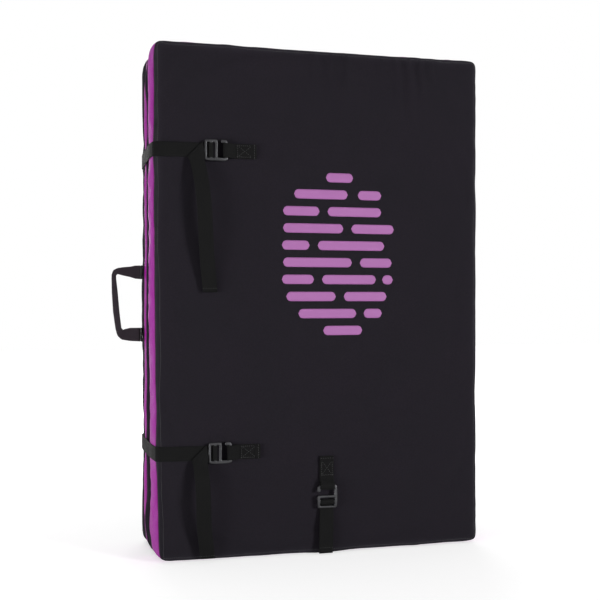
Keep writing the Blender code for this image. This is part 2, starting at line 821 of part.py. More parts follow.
def rectangle(x, middle_y, half_y, middle_z, half_z):
    ways = ((-1, -1), (1, -1), (1, 1), (-1, 1))
    return [Vector((x, middle_y + a * half_y, middle_z + b * half_z)) for a, b in ways]


def add_belt_female(parent):
    """A socket whose mouth faces +X."""
    middle = belt_level() + BELT_BUCKLE_THICKNESS / 2
    half, half_width = BELT_BUCKLE_THICKNESS / 2, BELT_BUCKLE_WIDTH / 2
    wall = BELT_BUCKLE_WALL
    loops = [
        rectangle(-BELT_BUCKLE_LENGTH, middle, half, BELT_HEIGHT, half_width),
        rectangle(0, middle, half, BELT_HEIGHT, half_width),
        rectangle(0, middle, half - wall, BELT_HEIGHT, half_width - wall),
        rectangle(wall - BELT_BUCKLE_LENGTH, middle, half - wall, BELT_HEIGHT, half_width - wall),
    ]
    add_loops("waist_buckle_female", loops, BLACK_PLASTIC, parent, roughness=0.5)


def male_into(shape):
    """A cross body with two prongs that reach into the socket."""
    half_width = BELT_BUCKLE_WIDTH / 2
    prong_out = half_width - BELT_BUCKLE_WALL - 2 * CLEARANCE
    prong_in = prong_out - PRONG_WIDTH
    low = belt_level() + (BELT_BUCKLE_THICKNESS - PRONG_THICKNESS) / 2
    outline = (
        (-PRONG_LENGTH, prong_out),
        (-PRONG_LENGTH, prong_in),
        (CLEARANCE, prong_in),
        (CLEARANCE, -prong_in),
        (-PRONG_LENGTH, -prong_in),
        (-PRONG_LENGTH, -prong_out),
        (CLEARANCE, -prong_out),
        (CLEARANCE, -half_width),
        (MALE_BODY, -half_width),
        (MALE_BODY, half_width),
        (CLEARANCE, half_width),
        (CLEARANCE, prong_out),
    )
    loops = []
    for y in (low, low + PRONG_THICKNESS):
        loops.append([Vector((x, y, BELT_HEIGHT + z)) for x, z in outline])
    loops_into(shape, loops)


def add_belt(parent):
    add_belt_female(parent)
    middle = belt_level() + BELT_BUCKLE_THICKNESS / 2
    pivot = (0, middle, BELT_HEIGHT)
    add_mesh("waist_buckle_male", male_into, BLACK_PLASTIC, parent, pivot=pivot, roughness=0.5)
    flat = belt_level() + WEB / 2
    ends = {
        "left_waist_webbing": (-BELT_REACH, -BELT_BUCKLE_LENGTH - CLEARANCE),
        "right_waist_webbing": (BELT_REACH, MALE_BODY + CLEARANCE),
    }
    for name, (sewn, buckle) in ends.items():
        toward = math.copysign(1, sewn)
        bends = (
            (sewn, flat),
            (buckle + toward * WEB_WIDTH, flat),
            (buckle + toward * WEB_SLOT, middle),
            (buckle, middle),
        )
        path = [Vector((x, y, BELT_HEIGHT)) for x, y in bends]
        add_strip(name, path, Z * (WEB_WIDTH / 2), parent)


# The whole pad


def clear_scene():
    for thing in list(bpy.data.objects):
        bpy.data.objects.remove(thing)


def stand_on_origin(root):
    """Moves the middle of the pad's footprint to the origin and its lowest point to the ground."""
    bpy.context.view_layer.update()
    low = Vector((math.inf,) * 3)
    high = Vector((-math.inf,) * 3)
    for piece in bpy.data.objects:
        if piece.type != "MESH":
            continue
        for vertex in piece.data.vertices:
            place = piece.matrix_world @ vertex.co
            low = Vector(map(min, low, place))
            high = Vector(map(max, high, place))
    root.location = -Vector(((low.x + high.x) / 2, (low.y + high.y) / 2, low.z))


def main():
    clear_scene()
    root = add_empty("pad", (0, 0, 0))
    fold = add_empty("fold_axis", (WIDTH / 2 + FOLD_AXIS_OUT, 0, 0), root)
    add_half("front", FRONT, FRONT_WRAP, fold)
    add_half("back", BACK, BACK_WRAP, root)
    add_hinge_cloth(root)
    add_zip("front", FRONT, fold)
    add_zip("back", BACK, root)
    add_closures(fold, root)
    add_handle(root)
    add_shoulder("left", -SHOULDER_SPACING / 2, root)
    add_shoulder("right", SHOULDER_SPACING / 2, root)
    add_belt(root)
    stand_on_origin(root)


main()
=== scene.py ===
"""Dresses the folded crash pad: covers, webbing, buckles, harness, print and studio.

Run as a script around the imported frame. Sizes are in metres. While a piece is made,
x = 0 is the pad's middle, y = 0 the plane where its halves meet and z = 0 the ground;
shift() then moves it to where the frame has it.
"""

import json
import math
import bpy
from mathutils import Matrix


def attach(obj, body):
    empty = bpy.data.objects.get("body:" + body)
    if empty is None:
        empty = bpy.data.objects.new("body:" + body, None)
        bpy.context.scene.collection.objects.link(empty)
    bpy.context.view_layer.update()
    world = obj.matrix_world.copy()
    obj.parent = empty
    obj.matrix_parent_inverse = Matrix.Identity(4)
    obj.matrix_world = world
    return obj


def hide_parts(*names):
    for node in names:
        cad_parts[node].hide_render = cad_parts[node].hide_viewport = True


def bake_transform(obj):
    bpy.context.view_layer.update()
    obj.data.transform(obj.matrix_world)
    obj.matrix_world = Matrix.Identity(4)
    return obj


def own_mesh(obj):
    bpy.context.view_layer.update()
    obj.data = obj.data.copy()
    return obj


bl_info = {
    "name": "Folding Crash Pad",
    "version": (1, 0, 0),
    "blender": (4, 5, 0),
    "location": "3D View > Sidebar > Crash Pad",
    "description": "Builds a folded bouldering crash pad around its packed frame",
    "category": "Add Mesh",
}

import bmesh
import bpy
from mathutils import Vector, noise
from mathutils.bvhtree import BVHTree

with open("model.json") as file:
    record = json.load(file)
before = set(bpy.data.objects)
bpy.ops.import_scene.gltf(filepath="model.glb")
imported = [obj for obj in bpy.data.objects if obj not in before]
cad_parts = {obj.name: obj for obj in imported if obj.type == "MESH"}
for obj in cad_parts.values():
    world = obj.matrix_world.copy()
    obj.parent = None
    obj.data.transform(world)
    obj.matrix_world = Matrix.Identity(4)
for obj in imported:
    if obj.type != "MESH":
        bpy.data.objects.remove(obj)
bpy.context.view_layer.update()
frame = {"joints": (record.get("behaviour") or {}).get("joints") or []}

X = Vector((1, 0, 0))
Y = Vector((0, 1, 0))
Z = Vector((0, 0, 1))
MM = 0.001
FRONT, BACK = -1, 1

# The frame's own sizes
CLEARANCE = 0.0003
FOLD_GAP = 0.0006
FOLD_AXIS_OUT = 0.006
CROWN_POWER = 8
WEB = 0.0016
WEB_WIDTH = 0.025
FACE_LEVEL = 0.0943
FOLD = next(joint for joint in frame["joints"] if joint["name"] == "fold_open")


def length_property(label, text, value):
    return bpy.props.FloatProperty(name=label, description=text, default=value, unit="LENGTH")


class PadSizes(bpy.types.PropertyGroup):
    """Sizes of the pad; they follow the frame."""

    width: length_property("Width", "Across the folded pad", 0.595)
    height: length_property("Height", "Of the folded pad on its short edge", 0.890)
    half_depth: length_property("Half Depth", "Thickness of one half", 0.090)
    plan_radius: length_property("Corner Radius", "Of the face's four corners", 0.009)
    carry_radius: length_property("Carry Edge Radius", "Where the outer face turns to the side", 0.006)
    landing_radius: length_property("Landing Edge Radius", "Where the inner face turns to the side", 0.018)
    crown: length_property("Crown", "Swell of the outer face", 0.004)
    side_bow: length_property("Side Bow", "Swell of the open side and the top", 0.005)
    front_wrap: length_property("Front Wrap", "How far the front panel reaches onto the side", 0.008)
    back_wrap: length_property("Back Wrap", "How far the back panel reaches onto the side", 0.051)
    cloth: length_property("Cloth", "Thickness of the cover cloth", 0.0012)
    stitch_pitch: length_property("Stitch Pitch", "From one stitch to the next", 0.0036)
    tooth_pitch: length_property("Tooth Pitch", "From one zip tooth to the next", 0.0017)


def colour_property(label, text, value):
    return bpy.props.FloatVectorProperty(
        name=label, description=text, subtype="COLOR", size=3, min=0, max=1, default=value
    )


class PadColours(bpy.types.PropertyGroup):
    """Colours of the pad and its studio."""

    cloth: colour_property("Black Cloth", "Outer and landing panels", (0.0174, 0.0160, 0.0203))
    gusset: colour_property("Purple Cloth", "Side bands", (0.310, 0.006, 0.280))
    print: colour_property("Print", "Bars on the front face", (0.315, 0.110, 0.310))
    webbing: colour_property("Webbing", "Straps and handle", (0.0049, 0.0049, 0.0050))
    thread: colour_property("Thread", "Stitches", (0.024, 0.024, 0.025))
    steel: colour_property("Buckle Metal", "Cast hook buckles", (0.034, 0.034, 0.036))
    plastic: colour_property("Plastic", "Ladder-locks and waist buckle", (0.018, 0.018, 0.019))
    firm_foam: colour_property("Firm Foam", "Closed-cell sheets", (0.045, 0.047, 0.052))
    soft_foam: colour_property("Soft Foam", "Open-cell blocks", (0.60, 0.55, 0.40))
    floor: colour_property("Floor", "Studio floor", (0.82, 0.82, 0.82))


def sizes():
    return bpy.context.scene.pad_sizes


def colours():
    return bpy.context.scene.pad_colours


def shift():
    """From the pad's own coordinates to the frame's."""
    return Vector(FOLD["pos_m"]) - Vector((sizes().width / 2 + FOLD_AXIS_OUT, 0, 0))


# Meshes


def made(name, mesh):
    piece = bpy.data.objects.new(name, mesh)
    bpy.context.scene.collection.objects.link(piece)
    return piece


def baked(piece):
    """The piece as its modifiers leave it, as a plain mesh with none."""
    bpy.context.view_layer.update()
    graph = bpy.context.evaluated_depsgraph_get()
    mesh = bpy.data.meshes.new_from_object(
        piece.evaluated_get(graph), preserve_all_data_layers=True, depsgraph=graph
    )
    piece.modifiers.clear()
    piece.data = mesh
    mesh.name = piece.name
    return piece


def face_outwards(mesh, weld=None):
    """Turns a closed mesh's faces outwards, with points closer than `weld` joined first."""
    shape = bmesh.new()
    shape.from_mesh(mesh)
    if weld is not None:
        bmesh.ops.remove_doubles(shape, verts=shape.verts, dist=weld)
    bmesh.ops.recalc_face_normals(shape, faces=shape.faces)
    shape.to_mesh(mesh)
    shape.free()


def rounded_once(piece):
    """The piece with its mesh subdivided smoothly, one level."""
    smooth = piece.modifiers.new("smooth", "SUBSURF")
    smooth.levels = smooth.render_levels = 1
    return baked(piece)


def solid(name, points, faces, material, sharp=None):
    """A closed mesh whose faces point outwards, moved to its place in the frame."""
    offset = shift()
    mesh = bpy.data.meshes.new(name)
    mesh.from_pydata([point + offset for point in points], [], faces)
    face_outwards(mesh)
    mesh.shade_smooth()
    if sharp is not None:
        mesh.set_sharp_from_angle(angle=math.radians(sharp))
    mesh.materials.append(material)
    return made(name, mesh)


def lay_flat_map(piece, name="weave"):
    """A UV map in metres, laid flat on each face from the axis that it faces most."""
    mesh = piece.data
    layer = mesh.uv_layers.get(name) or mesh.uv_layers.new(name=name)
    flat = {0: (1, 2), 1: (0, 2), 2: (0, 1)}
    for face in mesh.polygons:
        normal = [abs(part) for part in face.normal]
        u, v = flat[normal.index(max(normal))]
        for loop in face.loop_indices:
            place = mesh.vertices[mesh.loops[loop].vertex_index].co
            layer.data[loop].uv = (place[u], place[v])
    return piece


def dressed(piece, body, slot, *nodes):
    """Puts a piece on its body and lets it stand for its CAD nodes."""
    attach(piece, body)
    if nodes:
        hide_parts(*nodes)
    return piece


def ease(low, high, value):
    """A share that rises smoothly from 0 at `low` to 1 at `high`."""
    share = min(max((value - low) / (high - low), 0), 1)
    return share * share * (3 - 2 * share)


# Materials


def feed(tree, socket, value):
    """Links a socket into an input, or sets the input to a plain value."""
    if isinstance(value, bpy.types.NodeSocket):
        tree.links.new(value, socket)
    else:
        socket.default_value = value


def add_node(tree, kind, inputs=None, **settings):
    """A new node with its settings made and its inputs fed."""
    node = tree.nodes.new(kind)
    for key, value in settings.items():
        setattr(node, key, value)
    for key, value in (inputs or {}).items():
        feed(tree, node.inputs[key], value)
    return node


class Finish:
    """A material's nodes, built from its principled shader backwards."""

    def __init__(self, name, colour, roughness, **shader):
        self.material = bpy.data.materials.new(name)
        self.material.use_nodes = True
        self.material.diffuse_color = (*colour, 1)
        self.tree = self.material.node_tree
        self.shader = self.tree.nodes["Principled BSDF"]
        self.colour = tuple(colour)
        self.set("Base Color", (*colour, 1))
        self.set("Roughness", roughness)
        for key, value in shader.items():
            self.set(key.replace("_", " ").title().replace("Ior", "IOR"), value)

    def set(self, key, value):
        feed(self.tree, self.shader.inputs[key], value)

    def add(self, kind, inputs=None, **settings):
        return add_node(self.tree, kind, inputs, **settings)

    def math(self, operation, first, second=0.0):
        return self.add("ShaderNodeMath", {0: first, 1: second}, operation=operation).outputs[0]

    def times(self, first, second):
        return self.math("MULTIPLY", first, second)

    def sum(self, *parts):
        total = parts[0]
        for part in parts[1:]:
            total = self.math("ADD", total, part)
        return total

    def wave(self, place, pitch, phase=0.0):
        """A sine from -1 to 1 along a coordinate in metres."""
        turns = self.times(place, 2 * math.pi / pitch)
        return self.math("SINE", self.math("ADD", turns, phase))

    def crossed(self, pitch_u, pitch_v):
        """Threads over and under each other: two waves of the piece's map, multiplied."""
        u, v = self.flat()
        return self.times(self.wave(u, pitch_u), self.wave(v, pitch_v))

    def flat(self):
        """The piece's map in metres as two sockets."""
        uv = self.add("ShaderNodeUVMap", uv_map="weave")
        parts = self.add("ShaderNodeSeparateXYZ", {0: uv.outputs[0]})
        return parts.outputs[0], parts.outputs[1]

    def cloud(self, scale, detail=3.0, stretch=(1, 1, 1)):
        """Soft noise from 0 to 1 on object coordinates."""
        place = self.add("ShaderNodeTexCoord").outputs["Object"]
        place = self.add("ShaderNodeMapping", {"Vector": place, "Scale": stretch}).outputs[0]
        inputs = {"Vector": place, "Scale": scale, "Detail": detail}
        return self.add("ShaderNodeTexNoise", inputs).outputs[0]

    def mix(self, share, first, second):
        node = self.add("ShaderNodeMix", {0: share, 6: first, 7: second}, data_type="RGBA")
        return node.outputs[2]

    def shade(self, factor):
        """The finish's colour, lighter or darker."""
        return (*[min(part * factor, 1) for part in self.colour], 1)

    def vary(self, share, low, high):
        """A number between two, by a share."""
        inputs = {0: share, 3: low, 4: high}
        return self.add("ShaderNodeMapRange", inputs).outputs[0]

    def bump(self, height, distance, strength):
        inputs = {"Height": height, "Distance": distance, "Strength": strength}
        self.set("Normal", self.add("ShaderNodeBump", inputs).outputs[0])

    def mottled(self, share, low, high):
        """The base colour between two shades of itself."""
        self.set("Base Color", self.mix(share, self.shade(low), self.shade(high)))

    def patchy(self, scale, detail, low, high):
        """The roughness between two values, by soft noise."""
        self.set("Roughness", self.vary(self.cloud(scale, detail), low, high))


def once(make):
    """Makes a finish the first time that it is asked for."""
    kept = []

    def ask():
        if not kept:
            kept.append(make())
        return kept[0]

    return ask


def woven(name, colour, pitch, wear_and_sheen, gloss=0.03, roughness=0.88, wear_and_sheen_colour=None):
    """Plain-woven cover cloth: threads, soft mottling, and a paler colour where points are marked: scuffing
    at the outer face's rims, and a painted sheen along the gusset's bulge.
    """
    finish = Finish(
        name, colour, roughness, sheen_weight=0.03, sheen_roughness=0.45, specular_ior_level=gloss
    )
    finish.set("Sheen Tint", (*[part**0.35 for part in colour], 1))
    threads = finish.crossed(pitch, pitch)
    # The marked share: scuffing at the outer face's rims, and a painted sheen on the gusset's bulge.
    wear_and_sheen_mask = finish.add("ShaderNodeAttribute", attribute_name="wear_and_sheen").outputs["Fac"]
    wear_and_sheen_share = finish.times(finish.times(wear_and_sheen_mask, finish.cloud(60, 3.0)), wear_and_sheen)
    tint = (colour[0] * 1.14, colour[1] * 0.96, colour[2] * 1.08, 1)
    body = finish.mix(finish.cloud(11, 4.0), finish.shade(0.86), tint)
    body = finish.mix(finish.cloud(430, 2.0), finish.shade(0.55), body)
    body = finish.mix(finish.vary(threads, 0.0, 0.35), body, finish.shade(0.72))
    # Paler where marked: a scuffed shade on the black cloth, and a painted sheen colour on the gusset.
    finish.set("Base Color", finish.mix(wear_and_sheen_share, body, wear_and_sheen_colour or finish.shade(2.0)))
    finish.patchy(25, 3.0, roughness - 0.08, roughness + 0.08)
    slubs = finish.cloud(900, 2.0, (1, 1, 0.25))
    finish.bump(finish.sum(threads, finish.times(slubs, 1.2)), 0.00012, 0.5)
    return finish.material


@once
def black_cloth():
    return woven("black_cover_cloth", colours().cloth, 0.0011, 0.7)


@once
def landing_cloth():
    # A tenth darker than the carry cloth: painted shade for the groove where the halves meet.
    return woven("black_landing_cloth", [part * 0.9 for part in colours().cloth], 0.0014, 0.4)


@once
def shoulder_cloth():
    return woven("shoulder_pad_cloth", [part * 0.85 for part in colours().cloth], 0.0010, 0.5)


@once
def purple_cloth():
    # Its lilac second colour is a painted sheen along the gusset's bulge.
    return woven("purple_gusset_cloth", colours().gusset, 0.0009, 0.9, 0.14, 0.52, (0.26, 0.032, 0.26, 1))


@once
def face_ink():
    """Screen-printed ink: flatter than the cloth, with its weave showing through."""
    finish = Finish("face_print_ink", colours().print, 0.62, specular_ior_level=0.35)
    threads = finish.crossed(0.0011, 0.0011)
    body = finish.mix(finish.cloud(14, 4.0), finish.shade(0.95), finish.shade(1.05))
    thin = finish.vary(finish.cloud(700, 2.0), 0.0, 0.10)
    finish.set("Base Color", finish.mix(thin, body, finish.shade(0.55)))
    finish.patchy(30, 3.0, 0.56, 0.70)
    finish.bump(threads, 0.00008, 0.4)
    return finish.material


@once
def webbing():
    """Flat webbing: columns of slanting ribs that turn from one column to the next."""
    colour, column = colours().webbing, 0.0031
    finish = Finish(
        "black_webbing", colour, 0.66, sheen_weight=0.02, sheen_roughness=0.4, specular_ior_level=0.05
    )
    along, across = finish.flat()
    turn = finish.math("PINGPONG", across, column)
    ribs = finish.wave(finish.sum(along, finish.times(turn, 0.9)), 0.0021)
    edge = finish.wave(across, column, math.pi / 2)
    lines = finish.wave(across, column / 4)
    height = finish.sum(ribs, finish.times(edge, 0.5), finish.times(lines, 0.35))
    body = finish.mix(finish.cloud(40, 3.0), finish.shade(0.82), finish.shade(1.18))
    # Lighter where the bump raises the ribs: a painted highlight on their crests.
    finish.set("Base Color", finish.mix(finish.vary(height, 0.0, 0.5), body, finish.shade(1.5)))
    finish.patchy(80, 2.0, 0.58, 0.74)
    finish.bump(height, 0.00022, 0.6)
    return finish.material


@once
def handle_cloth():
    """The handle's webbing: a softer finish than the straps', and a paler, more aubergine colour that is a
    painted sheen.
    """
    # Paler and more aubergine than the straps' black: painted sheen.
    colour = (0.0125, 0.0068, 0.0118)
    finish = Finish(
        "handle_webbing", colour, 0.62, sheen_weight=0.30, sheen_roughness=0.4, specular_ior_level=0.3
    )
    finish.mottled(finish.cloud(120, 4.0), 0.7, 1.4)
    finish.patchy(60, 3.0, 0.52, 0.72)
    finish.bump(finish.sum(finish.crossed(0.0021, 0.0016), finish.cloud(160, 3.0)), 0.00025, 0.6)
    return finish.material


@once
def sewing_thread():
    finish = Finish("bonded_thread", colours().thread, 0.5, specular_ior_level=0.5)
    finish.mottled(finish.cloud(300, 2.0), 0.8, 1.3)
    finish.bump(finish.cloud(2600, 2.0, (1, 1, 0.4)), 0.00006, 0.6)
    return finish.material


@once
def cast_steel():
    """Dull cast metal, a little brighter where it has been rubbed."""
    finish = Finish("cast_buckle_metal", colours().steel, 0.36, metallic=1.0)
    finish.mottled(finish.cloud(160, 4.0), 0.75, 1.8)
    finish.patchy(240, 3.0, 0.32, 0.52)
    finish.bump(finish.cloud(1500, 3.0), 0.00008, 0.5)
    return finish.material


@once
def zip_metal():
    """Plated metal, brighter where hands have rubbed it."""
    finish = Finish("zip_slider_metal", (0.09, 0.09, 0.092), 0.38, metallic=1.0)
    finish.mottled(finish.cloud(500, 3.0), 0.7, 1.7)
    finish.patchy(600, 3.0, 0.30, 0.5)
    finish.bump(finish.cloud(1800, 2.0), 0.00005, 0.5)
    return finish.material


@once
def zip_coil():
    finish = Finish("zip_coil_nylon", (0.014, 0.014, 0.015), 0.42, specular_ior_level=0.5)
    finish.mottled(finish.cloud(400, 2.0), 0.8, 1.4)
    finish.bump(finish.cloud(2200, 2.0), 0.00004, 0.5)
    return finish.material


@once
def zip_tape():
    """Fine ribbed tape."""
    finish = Finish(
        "zip_tape_cloth", (0.0090, 0.0088, 0.0097), 0.8, sheen_weight=0.05, specular_ior_level=0.15
    )
    finish.mottled(finish.cloud(70, 3.0), 0.8, 1.25)
    finish.bump(finish.crossed(0.0009, 0.0018), 0.00012, 0.5)
    return finish.material


@once
def moulded_plastic():
    """Satin acetal with the fine grain of its mould."""
    finish = Finish("moulded_black_plastic", colours().plastic, 0.46, specular_ior_level=0.5)
    finish.mottled(finish.cloud(60, 3.0), 0.85, 1.2)
    finish.patchy(180, 3.0, 0.40, 0.54)
    finish.bump(finish.cloud(2400, 2.0), 0.00005, 0.5)
    return finish.material


def cellular(name, colour, cell, depth):
    """Cut foam: open or closed cells."""
    finish = Finish(name, colour, 0.9, sheen_weight=0.1, sheen_roughness=0.6)
    place = finish.add("ShaderNodeTexCoord").outputs["Object"]
    cells = finish.add("ShaderNodeTexVoronoi", {"Vector": place, "Scale": 1 / cell}).outputs["Distance"]
    body = finish.mix(finish.cloud(12, 3.0), finish.shade(0.85), finish.shade(1.1))
    # Darker towards each cell's middle, where the bump sinks it: painted shade in the pores.
    finish.set("Base Color", finish.mix(finish.vary(cells, 0.35, 0.0), body, finish.shade(0.6)))
    finish.bump(cells, depth, 0.8)
    return finish.material


@once
def firm_foam():
    return cellular("closed_cell_foam", colours().firm_foam, 0.0008, 0.0001)


@once
def soft_foam():
    return cellular("open_cell_foam", colours().soft_foam, 0.0016, 0.0006)


# Covers of the two halves

CELLS_ACROSS, CELLS_UP = 60, 90
EDGE_ROWS, LANDING_ROWS = 3, 4
ROW = 0.008
LANDING_WRAP = 0.023
TOP_FOLD_RADIUS = 0.012
STRAP_HEIGHTS = (0.7035, 0.1865)
BOTTOM_STRAP_X = 0.0055
TAPE_HALF = 0.014
CARRY, GUSSET, LANDING = 0, 1, 2
# Each zone's panel, slot and finish
PANELS = {
    CARRY: ("carry_panel", "black_cloth", black_cloth),
    GUSSET: ("gusset", "purple_cloth", purple_cloth),
    LANDING: ("landing_panel", "landing_cloth", landing_cloth),
}

# The swelling of the covers as cloth
EVENING_ROUNDS = 10
SWELL_FRAMES = 20
SEAM_SHRINK = 0.07
COVER_PRESSURE, COVER_CAP = 4.0, 0.0026
DEEPEST_DENT = 0.0030
FACE_SAG, FACE_ROUGHNESS, FACE_GRAIN = 0.0007, 0.0007, 0.00025
# The gusset's seams: how far they wander and pucker in slow, middling and fast waves
WANDER_SLOW, WANDER_MIDDLING = 0.0045, 0.0016
PUCKER_MIDDLING, PUCKER_FAST = 0.0011, 0.0008
SEAM_CREASE = 0.0010
# Scuffed rims, and the band of painted sheen along the gusset's bulge: where they are and how broad
RIM_INSET, RIM_BREADTH = 0.004, 0.006
PAINTED_SHEEN_DEPTH, PAINTED_SHEEN_BREADTH = 0.024, 0.010

# How the filled pad stands and bows
CORNER_LIFT = 0.0025
TOP_BOW_SHARE = 0.3
HANDLE_HEIGHT, HANDLE_PULL_REACH = 0.4415, 0.075
# How much of the fold's groove the filled corners close, at the top and at the ground
TOP_FILLED_SHARE, LOW_FILLED_SHARE = 0.80, 0.55
# How far beside a strap or a zip the cloth is free again
STRAP_FREE, ZIP_FREE = (0.004, 0.030), (0.006, 0.014)
# The front half's rim draws in towards the ground: (height, how far in)
RIM_LEAN = (
    (0.0, 0.0105),
    (0.045, 0.0098),
    (0.095, 0.0080),
    (0.182, 0.0055),
    (0.270, 0.0044),
    (0.445, 0.0030),
    (0.62, 0.0),
)
# Soft folds under the top hem of the front face: (x, reach downwards, half width, height)
TOP_FOLDS = (
    (-0.018, 0.080, 0.0060, 0.0040),
    (0.012, 0.120, 0.0065, 0.0050),
    (0.044, 0.090, 0.0060, 0.0038),
    (0.108, 0.070, 0.0060, 0.0032),
    (0.136, 0.110, 0.0060, 0.0046),
    (0.162, 0.140, 0.0070, 0.0056),
    (0.184, 0.090, 0.0060, 0.0044),
    (0.204, 0.070, 0.0055, 0.0034),
)
# Stitch lines: their distance from a seam, inside the face's rim and off the cloth
RIM_STITCH = 0.0062
SEAM_STITCH = 0.0030
PANEL_STITCH = 0.0032
THREAD_RISE = 0.0001

skins = {}
seams = {}


def sew(group, points):
    """Keeps a line of stitches for the sewing operator; `group` names its body or its strap."""
    seams.setdefault(group, []).append([point + shift() for point in points])


def sew_box(group, middle, across, ahead, level):
    """A sewn box with its cross: half sizes as vectors, `level` the way up to the cloth's face."""
    corners = [middle + level + across * a + ahead * b for a, b in ((-1, -1), (1, -1), (1, 1), (-1, 1))]
    sew(group, corners + corners[:1])
    sew(group, (corners[0], corners[2]))
    sew(group, (corners[1], corners[3]))


def corner_radius(across, up, inset=0.0):
    """The outline's corner radius: the upper corner by the fold is the softest."""
    radius = TOP_FOLD_RADIUS if across > 0 and up > 0 else sizes().plan_radius
    return max(radius, inset + MM)


def outline_place(across, up, inset):
    """A point of the rounded face outline, drawn `inset` inwards, from two shares -1 to 1."""
    size = sizes()
    half_x, half_z = size.width / 2 - inset, size.height / 2 - inset
    radius = corner_radius(across, up, inset) - inset
    x, z = across * half_x, up * half_z
    over_x, over_z = abs(x) - (half_x - radius), abs(z) - (half_z - radius)
    if over_x > 0 and over_z > 0:
        pull = max(over_x, over_z) / math.hypot(over_x, over_z)
        x = math.copysign(half_x - radius + over_x * pull, x)
        z = math.copysign(half_z - radius + over_z * pull, z)
    return x, z + size.height / 2


def rest(point):
    """The point moved by the pad's own weight: its lower corners lift and the front rim leans in."""
    size = sizes()
    lift = CORNER_LIFT * (point.x * 2 / size.width) ** 2 * (1 - ease(0.0, 0.10, point.z))
    lean = 0.0
    if point.y < 0 and point.x < 0:
        height = max(point.z, 0)
        for (low, at_low), (high, at_high) in zip(RIM_LEAN, RIM_LEAN[1:]):
            if low <= height <= high:
                lean = at_low + (at_high - at_low) * (height - low) / (high - low)
        near_rim = min(-point.y / size.half_depth, 1)
        lean *= near_rim * ease(size.width / 2 - 0.12, size.width / 2, -point.x)
    return point + Vector((lean, 0, lift))


def groove(up):
    """How much of the landing edge's rounding is left here: the filled corners close the fold."""
    half = sizes().height / 2
    top = TOP_FILLED_SHARE * (1 - ease(0.008, 0.062, (1 - up) * half))
    low = LOW_FILLED_SHARE * (1 - ease(0.010, 0.050, (1 + up) * half))
    return 1 - max(top, low)


def outward_at(across, up):
    """The way out of the outline at a border point."""
    size = sizes()
    radius = corner_radius(across, up)
    over_x = abs(across) * size.width / 2 - (size.width / 2 - radius)
    over_z = abs(up) * size.height / 2 - (size.height / 2 - radius)
    if over_x > 0 and over_z > 0:
        return Vector((math.copysign(over_x, across), 0, math.copysign(over_z, up))).normalized()
    if abs(across) > abs(up):
        return Vector((math.copysign(1, across), 0, 0))
    return Vector((0, 0, math.copysign(1, up)))


def bell(off, reach):
    """1 in the middle, falling smoothly to nothing a few reaches beside it."""
    return math.exp(-((off / reach) ** 2))


def bow_share(side, z):
    """How far the open side bows at this height; the handle pulls at the back half's."""
    pulled = bell(z - HANDLE_HEIGHT, HANDLE_PULL_REACH)
    if side == BACK:
        return 0.30 + 0.70 * pulled
    return 0.25 + 0.25 * ease(0.20, 0.34, z) + 0.50 * pulled


def bow_at(depth):
    """The open side's full bow at a depth behind the carry face."""
    size = sizes()
    run = skin_depth() - size.carry_radius - size.landing_radius
    share = min(max((depth - size.carry_radius) / run, 0), 1)
    return size.side_bow * math.sin(math.pi * share)


def swell(out, depth, side, z):
    """The bow of the open side, and a little of it on the top."""
    return bow_at(depth) * (bow_share(side, z) * max(-out.x, 0) ** 2 + TOP_BOW_SHARE * max(out.z, 0) ** 2)


def skin_depth():
    """From a half's carry face to its landing face."""
    return sizes().half_depth - FOLD_GAP / 2


def crown_at(share):
    """The carry face's swell at a share of the way from its middle to its rim."""
    return sizes().crown * (1 - share**CROWN_POWER)


def border():
    """Grid places round the face, once round."""
    lower = [(i, 0) for i in range(CELLS_ACROSS)]
    right = [(CELLS_ACROSS, k) for k in range(CELLS_UP)]
    upper = [(i, CELLS_UP) for i in range(CELLS_ACROSS, 0, -1)]
    left = [(0, k) for k in range(CELLS_UP, 0, -1)]
    return lower + right + upper + left


def side_rows(wrap, inside):
    """(inset, depth, zone before it) of each loop from the carry face's rim to the landing face's."""
    size = sizes()
    rows = []
    radius = size.carry_radius - inside
    for step in range(EDGE_ROWS + 1):
        angle = math.pi / 2 * step / EDGE_ROWS
        inset = size.carry_radius - radius * math.sin(angle)
        rows.append((inset, size.carry_radius - radius * math.cos(angle), CARRY))
    last = skin_depth() - size.landing_radius
    seam = skin_depth() - LANDING_WRAP
    for start, end, zone in ((size.carry_radius, wrap, CARRY), (wrap, seam, GUSSET), (seam, last, LANDING)):
        count = max(round((end - start) / ROW), 1)
        for step in range(1, count + 1):
            rows.append((inside, start + (end - start) * step / count, zone))
    radius = size.landing_radius - inside
    for step in range(1, LANDING_ROWS + 1):
        angle = math.pi / 2 * step / LANDING_ROWS
        inset = size.landing_radius - radius * math.cos(angle)
        rows.append((inset, last + radius * math.sin(angle), LANDING))
    return rows


